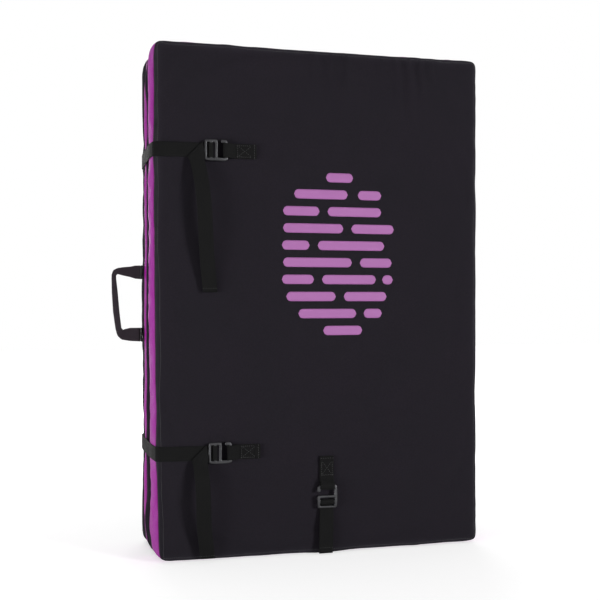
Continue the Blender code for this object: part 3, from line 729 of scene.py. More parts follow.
def half_shell(side, wrap, inside=0.0, first=None, last=None):
    """Points, faces and zones of one half as a closed shell, `inside` its outer skin.

    `first` and `last` cut it to a slab between two depths behind the carry face.
    """
    size = sizes()
    rows = side_rows(wrap, inside)
    if first is not None:
        rows = [(inside, first, GUSSET)] + [row for row in rows if row[1] > first + MM]
    if last is not None:
        rows = [row for row in rows if row[1] < last - MM] + [(inside, last, GUSSET)]
    grid = [(i, k) for k in range(CELLS_UP + 1) for i in range(CELLS_ACROSS + 1)]
    shares = {(i, k): (2 * i / CELLS_ACROSS - 1, 2 * k / CELLS_UP - 1) for i, k in grid}
    points, faces, zones = [], [], []

    def drawn_in(inset, depth, up):
        return inset if depth < size.half_depth / 2 else inside + (inset - inside) * groove(up)

    def face_grid(row, crowned):
        inset, depth, _ = row
        numbers = {}
        for place in grid:
            across, up = shares[place]
            x, z = outline_place(across, up, drawn_in(inset, depth, up))
            if place in around:
                out = outward_at(across, up)
                reach = swell(out, depth, side, z)
                x, z = x + out.x * reach, z + out.z * reach
            rise = crown_at(max(abs(across), abs(up))) if crowned else 0
            numbers[place] = len(points)
            points.append(Vector((x, side * (size.half_depth - depth + rise), z)))
        return numbers

    def close(numbers, zone):
        for i, k in grid:
            if i < CELLS_ACROSS and k < CELLS_UP:
                corners = ((i, k), (i + 1, k), (i + 1, k + 1), (i, k + 1))
                faces.append([numbers[corner] for corner in corners])
                zones.append(zone)

    around = dict.fromkeys(border())
    near = face_grid(rows[0], first is None)
    close(near, CARRY)
    previous = [near[place] for place in around]
    for row in rows[1:-1]:
        inset, depth, zone = row
        loop = []
        for place in around:
            across, up = shares[place]
            x, z = outline_place(across, up, 0)
            out = outward_at(across, up)
            reach = swell(out, depth, side, z) - drawn_in(inset, depth, up)
            loop.append(len(points))
            points.append(Vector((x, side * (size.half_depth - depth), z)) + out * reach)
        join(previous, loop, faces, zones, zone)
        previous = loop
    far = face_grid(rows[-1], False)
    join(previous, [far[place] for place in around], faces, zones, rows[-1][2])
    close(far, LANDING)
    return [rest(point) for point in points], faces, zones


def join(near, far, faces, zones, zone):
    """A band of faces between two loops of as many points."""
    count = len(near)
    for i in range(count):
        j = (i + 1) % count
        faces.append([near[i], near[j], far[j], far[i]])
        zones.append(zone)


def strap_here(point):
    """1 under a closure strap, falling to 0 a few centimetres beside it."""
    near = 0.0
    for height in STRAP_HEIGHTS:
        if point.x < 0:
            near = max(near, 1 - ease(*STRAP_FREE, abs(point.z - height) - WEB_WIDTH / 2))
    if point.z < sizes().height / 2:
        near = max(near, 1 - ease(*STRAP_FREE, abs(point.x - BOTTOM_STRAP_X) - WEB_WIDTH / 2))
    return near


def zip_here(point):
    """1 under a half's zip, falling to 0 beside it: the tape holds the cloth flat."""
    size = sizes()
    if point.x < size.width / 2 - 0.004:
        return 0.0
    return 1 - ease(*ZIP_FREE, abs(abs(point.y) - size.half_depth / 2) - TAPE_HALF)


def weigh(skin, name, weights):
    """A vertex group that gives each point its weight."""
    group = skin.vertex_groups.new(name=name)
    for i, weight in enumerate(weights):
        group.add([i], weight, "REPLACE")


def swelled(name, points, faces, hold, pressure, cap, shrink=None):
    """Where a closed skin's points go when it is blown up as cloth, each kept within `cap`."""
    mesh = bpy.data.meshes.new(name)
    mesh.from_pydata(points, [], faces)
    face_outwards(mesh)
    skin = made(name, mesh)
    weigh(skin, "held", hold)
    cloth = skin.modifiers.new("cloth", "CLOTH")
    settings = cloth.settings
    settings.quality = 4
    settings.mass = 0.25
    settings.tension_stiffness = settings.compression_stiffness = 12
    settings.shear_stiffness = 6
    settings.bending_stiffness = 0.35
    settings.air_damping = 2
    settings.use_pressure = True
    settings.uniform_pressure_force = pressure
    settings.effector_weights.gravity = 0
    settings.vertex_group_mass = "held"
    settings.pin_stiffness = 0.6
    if shrink is not None:
        weigh(skin, "drawn", shrink)
        settings.vertex_group_shrink = "drawn"
        settings.shrink_min = 0
        settings.shrink_max = SEAM_SHRINK
    scene = bpy.context.scene
    cloth.point_cache.frame_start, cloth.point_cache.frame_end = 1, SWELL_FRAMES
    for step in range(1, SWELL_FRAMES + 1):
        scene.frame_set(step)
    graph = bpy.context.evaluated_depsgraph_get()
    blown = [vertex.co.copy() for vertex in skin.evaluated_get(graph).data.vertices]
    scene.frame_set(1)
    bpy.data.objects.remove(skin)
    ways = [place - point for point, place in zip(points, blown)]
    ways = [way - slow for way, slow in zip(ways, evened(ways, faces))]
    return [way * (cap * math.tanh(way.length / cap) / max(way.length, 1e-9)) for way in ways]


def evened(ways, faces):
    """Each point's way averaged with those round it, again and again."""
    near = [set() for _ in ways]
    for face in faces:
        for a, b in zip(face, face[1:] + face[:1]):
            near[a].add(b)
            near[b].add(a)
    for _ in range(EVENING_ROUNDS):
        ways = [sum((ways[i] for i in around), Vector()) / len(around) for around in near]
    return ways


def depth_and_inset(point):
    """How far a point is behind its half's carry face, and how far inside the pad's outline."""
    size = sizes()
    inset = min(size.width / 2 - abs(point.x), size.height / 2 - abs(point.z - size.height / 2))
    return size.half_depth - abs(point.y), inset


def seam_distance(depth, wrap):
    """How far a depth is from the nearest sewn line round the side."""
    return min(abs(depth - wrap), abs(depth - (skin_depth() - LANDING_WRAP)))


def cover_hold(point):
    """How firmly the foam holds the cloth here: firm on the faces, slack at the edges."""
    return 0.15 + 0.75 * ease(0.01, 0.12, depth_and_inset(point)[1])


def cover_draw(point, wrap):
    """How much the sewing draws the cloth in: most along the seams."""
    depth, inset = depth_and_inset(point)
    if inset > 0.03:
        return 0.0
    return max(1 - seam_distance(depth, wrap) / 0.012, 0) * (1 - ease(0.004, 0.02, inset))


def settled(point, way, side):
    """One cover point after sewing and filling: what the cloth did, flat under straps and zip."""
    size = sizes()
    depth, inset = depth_and_inset(point)
    on_face = ease(-0.002, 0.012, inset)
    free = 1 - strap_here(point) if side == FRONT or depth > 0.02 else 1
    place = point + Vector((way.x * free * (1 - zip_here(point)), way.y, way.z * free))
    outward = side * (place.y - point.y)
    place.y = point.y + side * (min(outward, 0.0002 * free) if depth < size.half_depth / 2 else 0)
    rough = noise.noise(Vector((point.x, 0.3 * side, point.z)) * 9)
    if depth < size.carry_radius:
        dip = FACE_ROUGHNESS * rough + FACE_GRAIN * noise.noise(point * 34)
        place.y -= side * (FACE_SAG + dip) * on_face * free
    deeper = side * (point.y - place.y) - DEEPEST_DENT
    if deeper > 0:
        place.y += side * deeper
    return place


def raise_folds(cover):
    """The soft folds under the front face's top hem, on the finer mesh."""
    size, offset = sizes(), shift()
    for vertex in cover.data.vertices:
        point = vertex.co - offset
        if point.y > 0.0035 - size.half_depth:
            continue
        below = size.height - point.z
        for x, reach, half, high in TOP_FOLDS:
            crest = x + 0.05 * below + 0.004 * noise.noise(Vector((x * 40, 0, below * 22)))
            length = ease(0.0, 0.012, below) * (1 - ease(reach * 0.35, reach, below))
            vertex.co.y -= high * bell(point.x - crest, half) * length


def seam_waves(point, side, wrap):
    """Slow wander of the gusset's rear edge round the side, and its short puckers."""
    size = sizes()
    depth, inset = depth_and_inset(point)
    last = skin_depth() - LANDING_WRAP
    beside = 1 - ease(0.0, 0.010, inset)
    if beside <= 0:
        return Vector()
    along = point.z if abs(point.x) > size.width / 2 - 0.02 else point.x + 4
    slow = noise.noise(Vector((along * 5.0, side * 3.1, 0)))
    middling = noise.noise(Vector((along * 21.0, side * 7.7, 2)))
    fast = noise.noise(Vector((along * 70.0, side * 5.3, 5)))
    near_rear = ease(wrap, last, depth) * (1 - ease(last + 0.004, skin_depth(), depth))
    near_seam = max(1 - seam_distance(depth, wrap) / 0.014, 0)
    out = outward_at(point.x / (size.width / 2), (point.z - size.height / 2) / (size.height / 2))
    free = 1 - 0.8 * strap_here(point)
    wander = side * (WANDER_SLOW * slow + WANDER_MIDDLING * middling) * near_rear * beside * free
    pucker = (PUCKER_MIDDLING * middling + PUCKER_FAST * fast) * near_seam * beside * free
    crease = -SEAM_CREASE * max(1 - abs(depth - wrap) / 0.003, 0) * beside
    return Vector((0, wander, 0)) + out * (pucker + crease) * (1 - zip_here(point))


def add_half(prefix, side, wrap, body):
    """One half's cover: a whole skin, swelled as cloth, then cut into its three panels."""
    points, faces, zones = half_shell(side, wrap)
    ways = [Vector()] * len(points)
    hold = [cover_hold(point) for point in points]
    draw = [cover_draw(point, wrap) for point in points]
    ways = swelled(f"{prefix}_skin", points, faces, hold, COVER_PRESSURE, COVER_CAP, draw)
    places = [
        settled(point, way, side) + seam_waves(point, side, wrap) for point, way in zip(points, ways)
    ]
    whole = solid(f"{prefix}_cover", places, faces, black_cloth())
    whole.data.polygons.foreach_set("material_index", zones)
    for finish in (purple_cloth(), landing_cloth()):
        whole.data.materials.append(finish)
    rounded_once(whole)
    if side == FRONT:
        raise_folds(whole)
    for zone, (panel, slot, finish) in PANELS.items():
        name = f"{prefix}_{panel}"
        shape = bmesh.new()
        shape.from_mesh(whole.data)
        unwanted = [face for face in shape.faces if face.material_index != zone]
        bmesh.ops.delete(shape, geom=unwanted, context="FACES")
        for face in shape.faces:
            face.material_index = 0
        mesh = bpy.data.meshes.new(name)
        shape.to_mesh(mesh)
        shape.free()
        mesh.materials.append(finish())
        piece = made(f"{name}_cloth", mesh)
        wall = piece.modifiers.new("wall", "SOLIDIFY")
        wall.thickness = sizes().cloth
        wall.offset = -1
        baked(piece)
        skins[name] = BVHTree.FromPolygons(
            [vertex.co for vertex in piece.data.vertices], [face.vertices for face in piece.data.polygons]
        )
        mark_wear_and_sheen(piece)
        lay_flat_map(piece)
        dressed(piece, body, slot, name)
    bpy.data.objects.remove(whole)
    sew_half(prefix, side, wrap, body)


def sew_half(prefix, side, wrap, body):
    """The sewn lines of a half: inside its face's rim and along both edges of its gusset."""
    size = sizes()
    shares = [(2 * i / CELLS_ACROSS - 1, 2 * k / CELLS_UP - 1) for i, k in border()]
    landing = skin_depth() - LANDING_WRAP
    lines = (
        ("carry_panel", RIM_STITCH, -size.crown),
        ("carry_panel", 0.0, wrap - PANEL_STITCH),
        ("gusset", 0.0, wrap + SEAM_STITCH),
        ("gusset", 0.0, landing - SEAM_STITCH),
        ("landing_panel", 0.0, landing + PANEL_STITCH),
    )
    for panel, inset, depth in lines:
        skin = skins[f"{prefix}_{panel}"]
        line = []
        for across, up in shares:
            x, z = outline_place(across, up, inset)
            spot = rest(Vector((x, side * (size.half_depth - depth), z))) + shift()
            place = skin.find_nearest(spot)[0]
            line.append(place + (spot - place).normalized() * THREAD_RISE - shift())
        sew(body, line + line[:1])


def mark_wear_and_sheen(piece):
    """A share for each point: on the outer face, 1 along its scuffed rim; on the gusset, 1 along its bulge,
    where a sheen is painted.
    """
    offset = shift()
    layer = piece.data.attributes.new("wear_and_sheen", "FLOAT", "POINT")
    for vertex in piece.data.vertices:
        depth, inset = depth_and_inset(vertex.co - offset)
        if "gusset" in piece.name:
            # The gusset's share paints a sheen along its bulge.
            share = bell(depth - PAINTED_SHEEN_DEPTH, PAINTED_SHEEN_BREADTH)
        else:
            share = bell(inset - RIM_INSET, RIM_BREADTH) * (1 - ease(0.003, 0.012, depth))
        layer.data[vertex.index].value = share


class CRASHPAD_OT_covers(bpy.types.Operator):
    """Carry panels, gussets and landing panels of both halves"""

    bl_idname = "crash_pad.covers"
    bl_label = "Covers"

    def execute(self, context):
        add_half("front", FRONT, sizes().front_wrap, "front_half")
        add_half("back", BACK, sizes().back_wrap, "back_half")
        return {"FINISHED"}


# Webbing

# One side of the webbing's section, from its edge over its ribs: (share across, share up)
WEB_TOP_SHARES = (
    (1.0, 0.30), (0.975, 0.80), (0.93, 1.0), (0.60, 0.94), (0.20, 1.0),
    (-0.20, 1.0), (-0.60, 0.94), (-0.93, 1.0), (-0.975, 0.80), (-1.0, 0.30),
)
WEB_SHARES = [(-across, -up) for across, up in WEB_TOP_SHARES] + list(WEB_TOP_SHARES)
STATION_STEP = 0.004
SOFT_BEND = 0.0022

# Levels above the face of the layers that lie through a buckle
WEB_OUT = WEB / 2 + CLEARANCE
BUCKLE_THICKNESS = 0.004
LOAD_LEVEL = WEB / 2
TAIL_LEVEL = LOAD_LEVEL + WEB + CLEARANCE
BAR_BOTTOM = TAIL_LEVEL + WEB / 2 + CLEARANCE
BAR_LEVEL = BAR_BOTTOM + BUCKLE_THICKNESS / 2
OVER_LEVEL = BAR_BOTTOM + BUCKLE_THICKNESS + CLEARANCE + WEB / 2
FOLDED_LEVEL = TAIL_LEVEL + WEB + CLEARANCE

# Along a buckle from its end bar, and the bars that hold a tab: middle and width
NEAR_SLOT, FAR_SLOT = 0.0083, 0.0147
HOOK_MIDDLE, HOOK_BAR = 0.038, 0.006
LOCK_MIDDLE, LOCK_BAR = 0.0265, 0.005
CREASE_CLEARANCE = 0.002

# The tabs' hems and boxes
TAB_REACH = 0.091
HEM_LENGTH, HEM_RISE, HEM_STITCH = 0.0085, 0.0011, 0.0035
LAP_RUN = 0.011
BOX_OFF, BOX_HALF = 0.0205, 0.0125
BOX_MARGIN, TAB_BOX_MARGIN = 0.003, 0.0028

# The straps' tails: free lengths, how far each folded one leans at its end, how early, and its twist
TAILS = {"upper": 0.230, "lower": 0.167, "bottom": 0.079}
TAIL_WAYS = {"upper": (0.024, 0.75, 0.0), "lower": (0.013, 1.5, 0.10)}
FOLDED_STEPS, HANGING_STEPS = 34, 16
FOLDED_HEM, HANGING_HEM, HEM_THICKER = 0.016, 0.014, 1.9
# Where a side strap is sewn, in from the open side, and how far the bottom strap sinks into the pad
STRAP_SEWN_FROM, STRAP_BOX = 0.080, 0.0695
BOTTOM_SINK = 0.003


def turned(start, corner, end, steps):
    """Points of the short curve that cuts a corner."""
    points = []
    for share in (step / steps for step in range(steps + 1)):
        points.append(start * (1 - share) ** 2 + corner * 2 * share * (1 - share) + end * share**2)
    return points


def smooth_corners(points, radius):
    """A polyline with each corner turned into a short curve."""
    path = [points[0]]
    for before, corner, after in zip(points, points[1:], points[2:]):
        back, ahead = before - corner, after - corner
        start = corner + back.normalized() * min(radius, back.length * 0.45)
        end = corner + ahead.normalized() * min(radius, ahead.length * 0.45)
        path += turned(start, corner, end, 4)
    path.append(points[-1])
    return path


def spaced(points, step):
    """The same polyline with long spans cut into steps."""
    path = [points[0]]
    for start, end in zip(points, points[1:]):
        count = max(math.ceil((end - start).length / step), 1)
        path += [start.lerp(end, share / count) for share in range(1, count + 1)]
    return path


def along(path, across, half_thickness):
    """Stations (centre, half width, half thickness) of a strip that stays square to `across`."""
    stations = []
    aside = across.normalized()
    for i, point in enumerate(path):
        ahead = path[min(i + 1, len(path) - 1)] - path[max(i - 1, 0)]
        stations.append((point, across, ahead.normalized().cross(aside) * half_thickness))
    return stations


def between(stations, steps):
    """Stations with straight steps between each pair."""
    result = [stations[0]]
    for first, second in zip(stations, stations[1:]):
        for step in range(1, steps + 1):
            share = step / steps
            centre, across, up = (a.lerp(b, share) for a, b in zip(first, second))
            width = first[1].length * (1 - share) + second[1].length * share
            thick = first[2].length * (1 - share) + second[2].length * share
            result.append((centre, across.normalized() * width, up.normalized() * thick))
    return result


def ribbon(name, stations, material=None):
    """A closed strip through its stations, with a weave map along and across it."""
    points, faces = [], []
    count = len(WEB_SHARES)
    for centre, across, up in stations:
        points += [centre + across * a + up * b for a, b in WEB_SHARES]
    for row in range(len(stations) - 1):
        for i in range(count):
            j = (i + 1) % count
            first, second = row * count, (row + 1) * count
            faces.append([first + i, first + j, second + j, second + i])
    faces.append(list(range(count)))
    faces.append([len(points) - count + i for i in range(count)])
    piece = solid(name, points, faces, material or webbing())
    runs, total = [0.0], 0.0
    for near, far in zip(stations, stations[1:]):
        total += (far[0] - near[0]).length
        runs.append(total)
    layer = piece.data.uv_layers.new(name="weave")
    for loop in piece.data.loops:
        row, i = divmod(loop.vertex_index, count)
        layer.data[loop.index].uv = (runs[row], WEB_SHARES[i][0] * stations[row][1].length)
    return piece


class Seat:
    """A buckle's place: u runs along its strap from its end bar, v across, w away from the pad."""

    def __init__(self, origin, u, v):
        self.origin, self.u, self.v = Vector(origin), u, v
        self.w = u.cross(v)

    def at(self, u, v, w):
        return self.origin + self.u * u + self.v * v + self.w * w


CLOSURES = {
    "upper": Seat((-0.2125, -FACE_LEVEL, 0.7035), X, Z),
    "lower": Seat((-0.2055, -FACE_LEVEL, 0.1865), X, Z),
    "bottom": Seat((BOTTOM_STRAP_X, -FACE_LEVEL, 0.082), Z, -X),
}


def threading(seat):
    """Up through a buckle's far slot, over its middle bar, down through the near slot and out."""
    ways = (
        (FAR_SLOT, LOAD_LEVEL),
        (FAR_SLOT, OVER_LEVEL),
        (NEAR_SLOT, OVER_LEVEL),
        (NEAR_SLOT, TAIL_LEVEL),
        (-CREASE_CLEARANCE / 2, TAIL_LEVEL),
    )
    return [seat.at(u, 0, w) for u, w in ways]


def laid(path):
    """A route of corners as a strap takes it: softly bent, in short steps."""
    return spaced(smooth_corners(path, SOFT_BEND), STATION_STEP)


def carried_on(stations, onward):
    """Stations, three steps across to where the next ones start, and those."""
    return stations + between([stations[-1], onward[0]], 3)[1:] + onward[1:]


def tab_path(seat, bar_middle, bar_width, reach):
    """The sewn loop round a bar: its lower layer, the turn, its upper layer and its thicker hem."""
    turn = math.hypot(bar_width / 2, BUCKLE_THICKNESS / 2) + CLEARANCE
    out = turn + WEB / 2
    ways = [(reach, LOAD_LEVEL), (bar_middle + turn, LOAD_LEVEL)]
    for angle in range(255, 100, -15):
        flat = math.radians(angle)
        ways.append((bar_middle + out * math.cos(flat), BAR_LEVEL + out * math.sin(flat)))
    ways += [
        (bar_middle + turn, BAR_LEVEL + out),
        (bar_middle + turn + LAP_RUN, TAIL_LEVEL + 0.0001),
        (reach - LAP_RUN, TAIL_LEVEL),
        (reach - HEM_LENGTH, TAIL_LEVEL + HEM_RISE),
        (reach, TAIL_LEVEL + HEM_RISE - 0.0001),
    ]
    return [seat.at(u, 0, w) for u, w in ways]


def add_tab(node, seat, bar_middle, bar_width, reach, body):
    """A tab round its bar, with its sewn box and its hem."""
    path = laid(tab_path(seat, bar_middle, bar_width, reach))
    piece = ribbon(f"{node}_loop", along(path, seat.v * (WEB_WIDTH / 2), WEB / 2))
    top = TAIL_LEVEL + WEB / 2
    half = WEB_WIDTH / 2
    box = seat.at(reach - BOX_OFF, 0, top)
    sew_box(body, box, seat.v * (half - TAB_BOX_MARGIN), seat.u * BOX_HALF, seat.w * 0.0003)
    sew(body, [seat.at(reach - HEM_STITCH, side * (half - 0.002), top + 0.0013) for side in (-1, 1)])
    dressed(piece, body, "webbing", node)


def edge_levels():
    """Where a strap meets a face's rim: (share of the way from its middle, level above it)."""
    return [(0.88, sizes().crown), (0.97, crown_at(0.97) + CLEARANCE)]


def side_ways(side, height):
    """(inset from the open side, distance from the fold plane) of a strap from the face to mid depth."""
    size = sizes()
    edge_half = size.width / 2 - size.carry_radius
    ways = []
    for share, level in edge_levels():
        ways.append((size.width / 2 - edge_half * share, size.half_depth + level + WEB_OUT))
    reach = size.carry_radius + WEB_OUT + CLEARANCE
    for step in range(7):
        angle = math.pi / 2 * step / 6
        inset = size.carry_radius - reach * math.sin(angle)
        ways.append((inset, size.half_depth - size.carry_radius + reach * math.cos(angle)))
    for share in (0.12, 0.3, 0.5):
        depth = size.carry_radius + share * (skin_depth() - size.carry_radius - size.landing_radius)
        reach = bow_at(depth) * bow_share(side, height) + WEB_OUT + CLEARANCE
        ways.append((-reach, size.half_depth - depth))
    return ways


def folded_tail(seat, length, lean, onset, twist):
    """The free end: over a slanting crease, then down in a slack curve to its doubled hem."""
    half = WEB_WIDTH / 2
    middle = -CREASE_CLEARANCE - half
    crease = (seat.u + seat.v) * half
    outward = (seat.v - seat.u).normalized()
    turn = (WEB + CLEARANCE) / 2
    first = seat.at(middle, 0, TAIL_LEVEL)
    fold = [(first, crease, -seat.w * (WEB / 2))]
    for step in range(1, 6):
        angle = math.pi * step / 6
        way = outward * math.sin(angle) - seat.w * math.cos(angle)
        fold.append((first + seat.w * turn + way * turn, crease, way * (WEB / 2)))
    fold.append((first + seat.w * (2 * turn), crease, seat.w * (WEB / 2)))
    drop = []
    for step in range(1, FOLDED_STEPS + 1):
        share = step / FOLDED_STEPS
        lift = 0.015 * math.sin(math.pi * share**0.8) + 0.0012 * math.sin(5.2 * share + twist * 3)
        drift = lean * share**onset + 0.0012 * math.sin(7 * share + twist)
        roll = (0.16 + twist) * math.sin(2.6 * share + 0.5) * (1 - 0.5 * share)
        across = (seat.u * math.cos(roll) + seat.w * math.sin(roll)) * half
        up = (seat.w * math.cos(roll) - seat.u * math.sin(roll)) * (WEB / 2)
        if share > 1 - FOLDED_HEM / length:
            up *= HEM_THICKER
        level = FOLDED_LEVEL + max(lift, 0) + abs(across.dot(seat.w))
        drop.append((seat.at(middle + drift, -half - length * share, level), across, up))
    return fold, drop


def hanging_tail(seat, length):
    """A free end that hangs straight on from its buckle, to its doubled hem."""
    drop = []
    for step in range(1, HANGING_STEPS + 1):
        share = step / HANGING_STEPS
        lift = 0.0022 * math.sin(math.pi * share) + 0.0030 * share**2
        centre = seat.at(-length * share, 0.0024 * share, TAIL_LEVEL + lift)
        up = -seat.w * (WEB / 2) * (HEM_THICKER if share > 1 - HANGING_HEM / length else 1)
        drop.append((centre, seat.v * (WEB_WIDTH / 2), up))
    return drop


def split_path(path):
    """The path's parts behind and before the fold plane, which share their point on it."""
    for i in range(len(path) - 1):
        if path[i].y >= 0 > path[i + 1].y:
            share = path[i].y / (path[i].y - path[i + 1].y)
            middle = path[i].lerp(path[i + 1], share)
            return path[: i + 1] + [middle], [middle] + path[i + 1 :]
    raise ValueError("the strap does not cross the fold plane")


def squashed(piece):
    """Gives the strap's front part a mesh of its own."""
    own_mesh(piece)


def bottom_route(x):
    """The bottom strap's way from under the back half to the front face."""
    size = sizes()
    reach = size.carry_radius + WEB_OUT + CLEARANCE
    under = BOTTOM_SINK - WEB_OUT - CLEARANCE
    route = [Vector((x, 0.060, under)), Vector((x, 0.020, under))]
    for step in range(6):
        angle = math.pi / 2 * step / 5
        y = size.carry_radius - size.half_depth - reach * math.sin(angle)
        route.append(Vector((x, y, BOTTOM_SINK + size.carry_radius - reach * math.cos(angle))))
    edge_half = size.height / 2 - size.carry_radius
    for share, level in reversed(edge_levels()):
        route.append(Vector((x, -size.half_depth - level - WEB_OUT, size.height / 2 - edge_half * share)))
    return route


def side_route(height):
    """A side strap's way from the back face round the open side to the front face."""
    left = -sizes().width / 2
    back = [Vector((inset + left, y, height)) for inset, y in side_ways(BACK, height)]
    front = reversed(side_ways(FRONT, height))
    route = [Vector((STRAP_SEWN_FROM + left, back[0].y, height))] + back
    return route + [rest(Vector((inset + left, -y, height))) for inset, y in front]


def add_closure_strap(name):
    """A strap in two pieces that meet on the fold plane: its rear, and its fore with the tail."""
    seat = CLOSURES[name]
    node = f"{name}_closure_strap"
    across = seat.v * (WEB_WIDTH / 2)
    bottom = name == "bottom"
    route = bottom_route(seat.origin.x) if bottom else side_route(seat.origin.z)
    rear, fore = split_path(laid(route + threading(seat)))
    back_part = ribbon(f"{node}_rear", along(rear, across, WEB / 2))
    dressed(back_part, "back_half", "webbing")
    stations = along(fore, across, WEB / 2)
    if bottom:
        tail = hanging_tail(seat, TAILS[name])
    else:
        face = rear[0].y + WEB / 2 + THREAD_RISE
        middle = Vector((STRAP_BOX - sizes().width / 2, face, seat.origin.z))
        sew_box("back_half", middle, Z * (WEB_WIDTH / 2 - BOX_MARGIN), X * 0.008, Vector())
        fold, tail = folded_tail(seat, TAILS[name], *TAIL_WAYS[name])
        stations = carried_on(stations, fold)
    stations = carried_on(stations, tail)
    front_part = ribbon(f"{node}_fore", stations)
    centre, across, up = stations[-3 if bottom else -2]
    raised = up.normalized() * (up.length + THREAD_RISE)
    if raised.dot(seat.w) < 0:
        raised = -raised
    sew("closure_straps", [centre + raised + across * side * 0.85 for side in (-1, 1)])
    dressed(front_part, "back_half", "webbing", node)
    squashed(front_part)


class CRASHPAD_OT_closure_straps(bpy.types.Operator):
    """The three closure straps with their folded and hanging tails"""

    bl_idname = "crash_pad.closure_straps"
    bl_label = "Closure Straps"

    def execute(self, context):
        for name in CLOSURES:
            add_closure_strap(name)
        return {"FINISHED"}


class CRASHPAD_OT_closure_tabs(bpy.types.Operator):
    """The sewn tabs that hold the hook buckles to the front face"""

    bl_idname = "crash_pad.closure_tabs"
    bl_label = "Closure Tabs"

    def execute(self, context):
        for name, seat in CLOSURES.items():
            add_tab(f"{name}_closure_tab", seat, HOOK_MIDDLE, HOOK_BAR, TAB_REACH, "front_half")
        return {"FINISHED"}


# Buckles


def rounded_outline(corners):
    """A closed outline from (u, v, radius) corners."""
    outline = []
    count = len(corners)
    for i, (u, v, radius) in enumerate(corners):
        corner = Vector((u, v, 0))
        before = Vector((*corners[i - 1][:2], 0)) - corner
        after = Vector((*corners[(i + 1) % count][:2], 0)) - corner
        reach = min(radius, before.length * 0.48, after.length * 0.48)
        start, end = corner + before.normalized() * reach, corner + after.normalized() * reach
        outline += turned(start, corner, end, 5)
    return outline


def plate(name, outlines, thickness, rounding, material):
    """A flat plate with holes and rounded edges, from outlines in millimetres, lying on z = 0."""
    curve = bpy.data.curves.new(name, "CURVE")
    curve.dimensions = "2D"
    curve.fill_mode = "BOTH"
    curve.bevel_depth = rounding
    curve.bevel_resolution = 3
    curve.offset = -rounding
    curve.extrude = thickness / 2 - rounding
    for outline in outlines:
        spline = curve.splines.new("POLY")
        points = [point * MM for point in rounded_outline(outline)]
        spline.points.add(len(points) - 1)
        for target, point in zip(spline.points, points):
            target.co = (point.x, point.y, 0, 1)
        spline.use_cyclic_u = True
    thing = made(f"{name}_outline", curve)
    bpy.context.view_layer.update()
    graph = bpy.context.evaluated_depsgraph_get()
    mesh = bpy.data.meshes.new_from_object(thing.evaluated_get(graph))
    bpy.data.objects.remove(thing)
    bpy.data.curves.remove(curve)
    face_outwards(mesh, weld=0.02 * MM)
    mesh.shade_smooth()
    mesh.set_sharp_from_angle(angle=math.radians(50))
    mesh.materials.clear()
    mesh.materials.append(material)
    return made(name, mesh)


def seated(piece, seat, level, arch=0.0):
    """Lays a plate made in (u, v) on a seat, its middle at a level above it and arched along u."""
    offset = shift()
    for vertex in piece.data.vertices:
        u, v, w = vertex.co
        w += arch * math.sin(math.pi * min(max(u / HOOK_LENGTH, 0), 1))
        vertex.co = seat.at(u, v, level + w) + offset
    face_outwards(piece.data)
    return piece


# (u, v, corner radius) in millimetres; the gate is open at v above 0, beside the inner bar
HOOK_OUTLINE = (
    (0.0, -16.8, 4.0),
    (0.6, 17.6, 2.4),
    (22.6, 18.3, 4.2),
    (23.0, 12.4, 1.6),
    (22.6, -12.4, 1.8),
    (34.9, -12.8, 2.0),
    (35.0, 12.6, 1.6),
    (28.6, 12.6, 2.4),
    (28.4, 18.2, 4.0),
    (40.2, 18.2, 5.5),
    (41.0, 4.0, 6.0),
    (41.0, -16.6, 5.0),
    (34.0, -18.2, 8.0),
    (8.0, -18.25, 8.0),
)
NEAR_SLOT_OUTLINE = ((4.4, -13.0, 1.4), (4.6, 13.2, 1.4), (9.2, 13.2, 1.4), (9.2, -13.0, 1.4))
FAR_SLOT_OUTLINE = ((13.8, -13.0, 1.4), (13.8, 13.2, 1.4), (18.2, 13.2, 1.4), (18.0, -13.0, 1.4))
HOOK_LENGTH, HOOK_ARCH = 0.041, 0.0006
HOOK_ROUNDING = 1.55 * MM


class CRASHPAD_OT_hook_buckles(bpy.types.Operator):
    """The three cast hook buckles with their open gates"""

    bl_idname = "crash_pad.hook_buckles"
    bl_label = "Hook Buckles"

    def execute(self, context):
        for name, seat in CLOSURES.items():
            outlines = (HOOK_OUTLINE, NEAR_SLOT_OUTLINE, FAR_SLOT_OUTLINE)
            node = f"{name}_hook_buckle"
            piece = plate(f"{node}_cast", outlines, BUCKLE_THICKNESS, HOOK_ROUNDING, cast_steel())
            seated(piece, seat, BAR_LEVEL, HOOK_ARCH)
            dressed(piece, f"{name}_hook", "steel", node)
        return {"FINISHED"}


# Foam, hinge cloth, handle and print

FOAM_INSIDE = 0.0050
FIRM_FOAM = 0.025
HALVES = (("front", FRONT, "front_half"), ("back", BACK, "back_half"))
HINGE_REACH, HINGE_END = 0.0235, 0.010
HINGE_RISE, HINGE_ARCH, HINGE_HEM = 0.0014, 0.0010, 0.0005
HINGE_RIPPLE, HINGE_SEAM_END = 0.0005, 0.004
HINGE_ROWS, HINGE_COLUMNS = 180, 16
HINGE_SEAM_SHARES = (-0.92, -0.84, 0.84, 0.92)


def doubled_grid(rows, columns):
    """Faces of a grid of points and a like one behind it, the wall round them, and their rim."""
    wide = columns + 1
    count = wide * (rows + 1)
    faces = []
    for k in range(rows):
        for i in range(columns):
            a = k * wide + i
            faces.append([a, a + 1, a + 1 + wide, a + wide])
            faces.append([corner + count for corner in (a + wide, a + 1 + wide, a + 1, a)])
    rim = list(range(wide)) + [k * wide + columns for k in range(1, rows + 1)]
    rim += [rows * wide + i for i in range(columns - 1, -1, -1)]
    rim += [k * wide for k in range(rows - 1, 0, -1)]
    faces += [[b, a, a + count, b + count] for a, b in zip(rim, rim[1:] + rim[:1])]
    return faces, rim


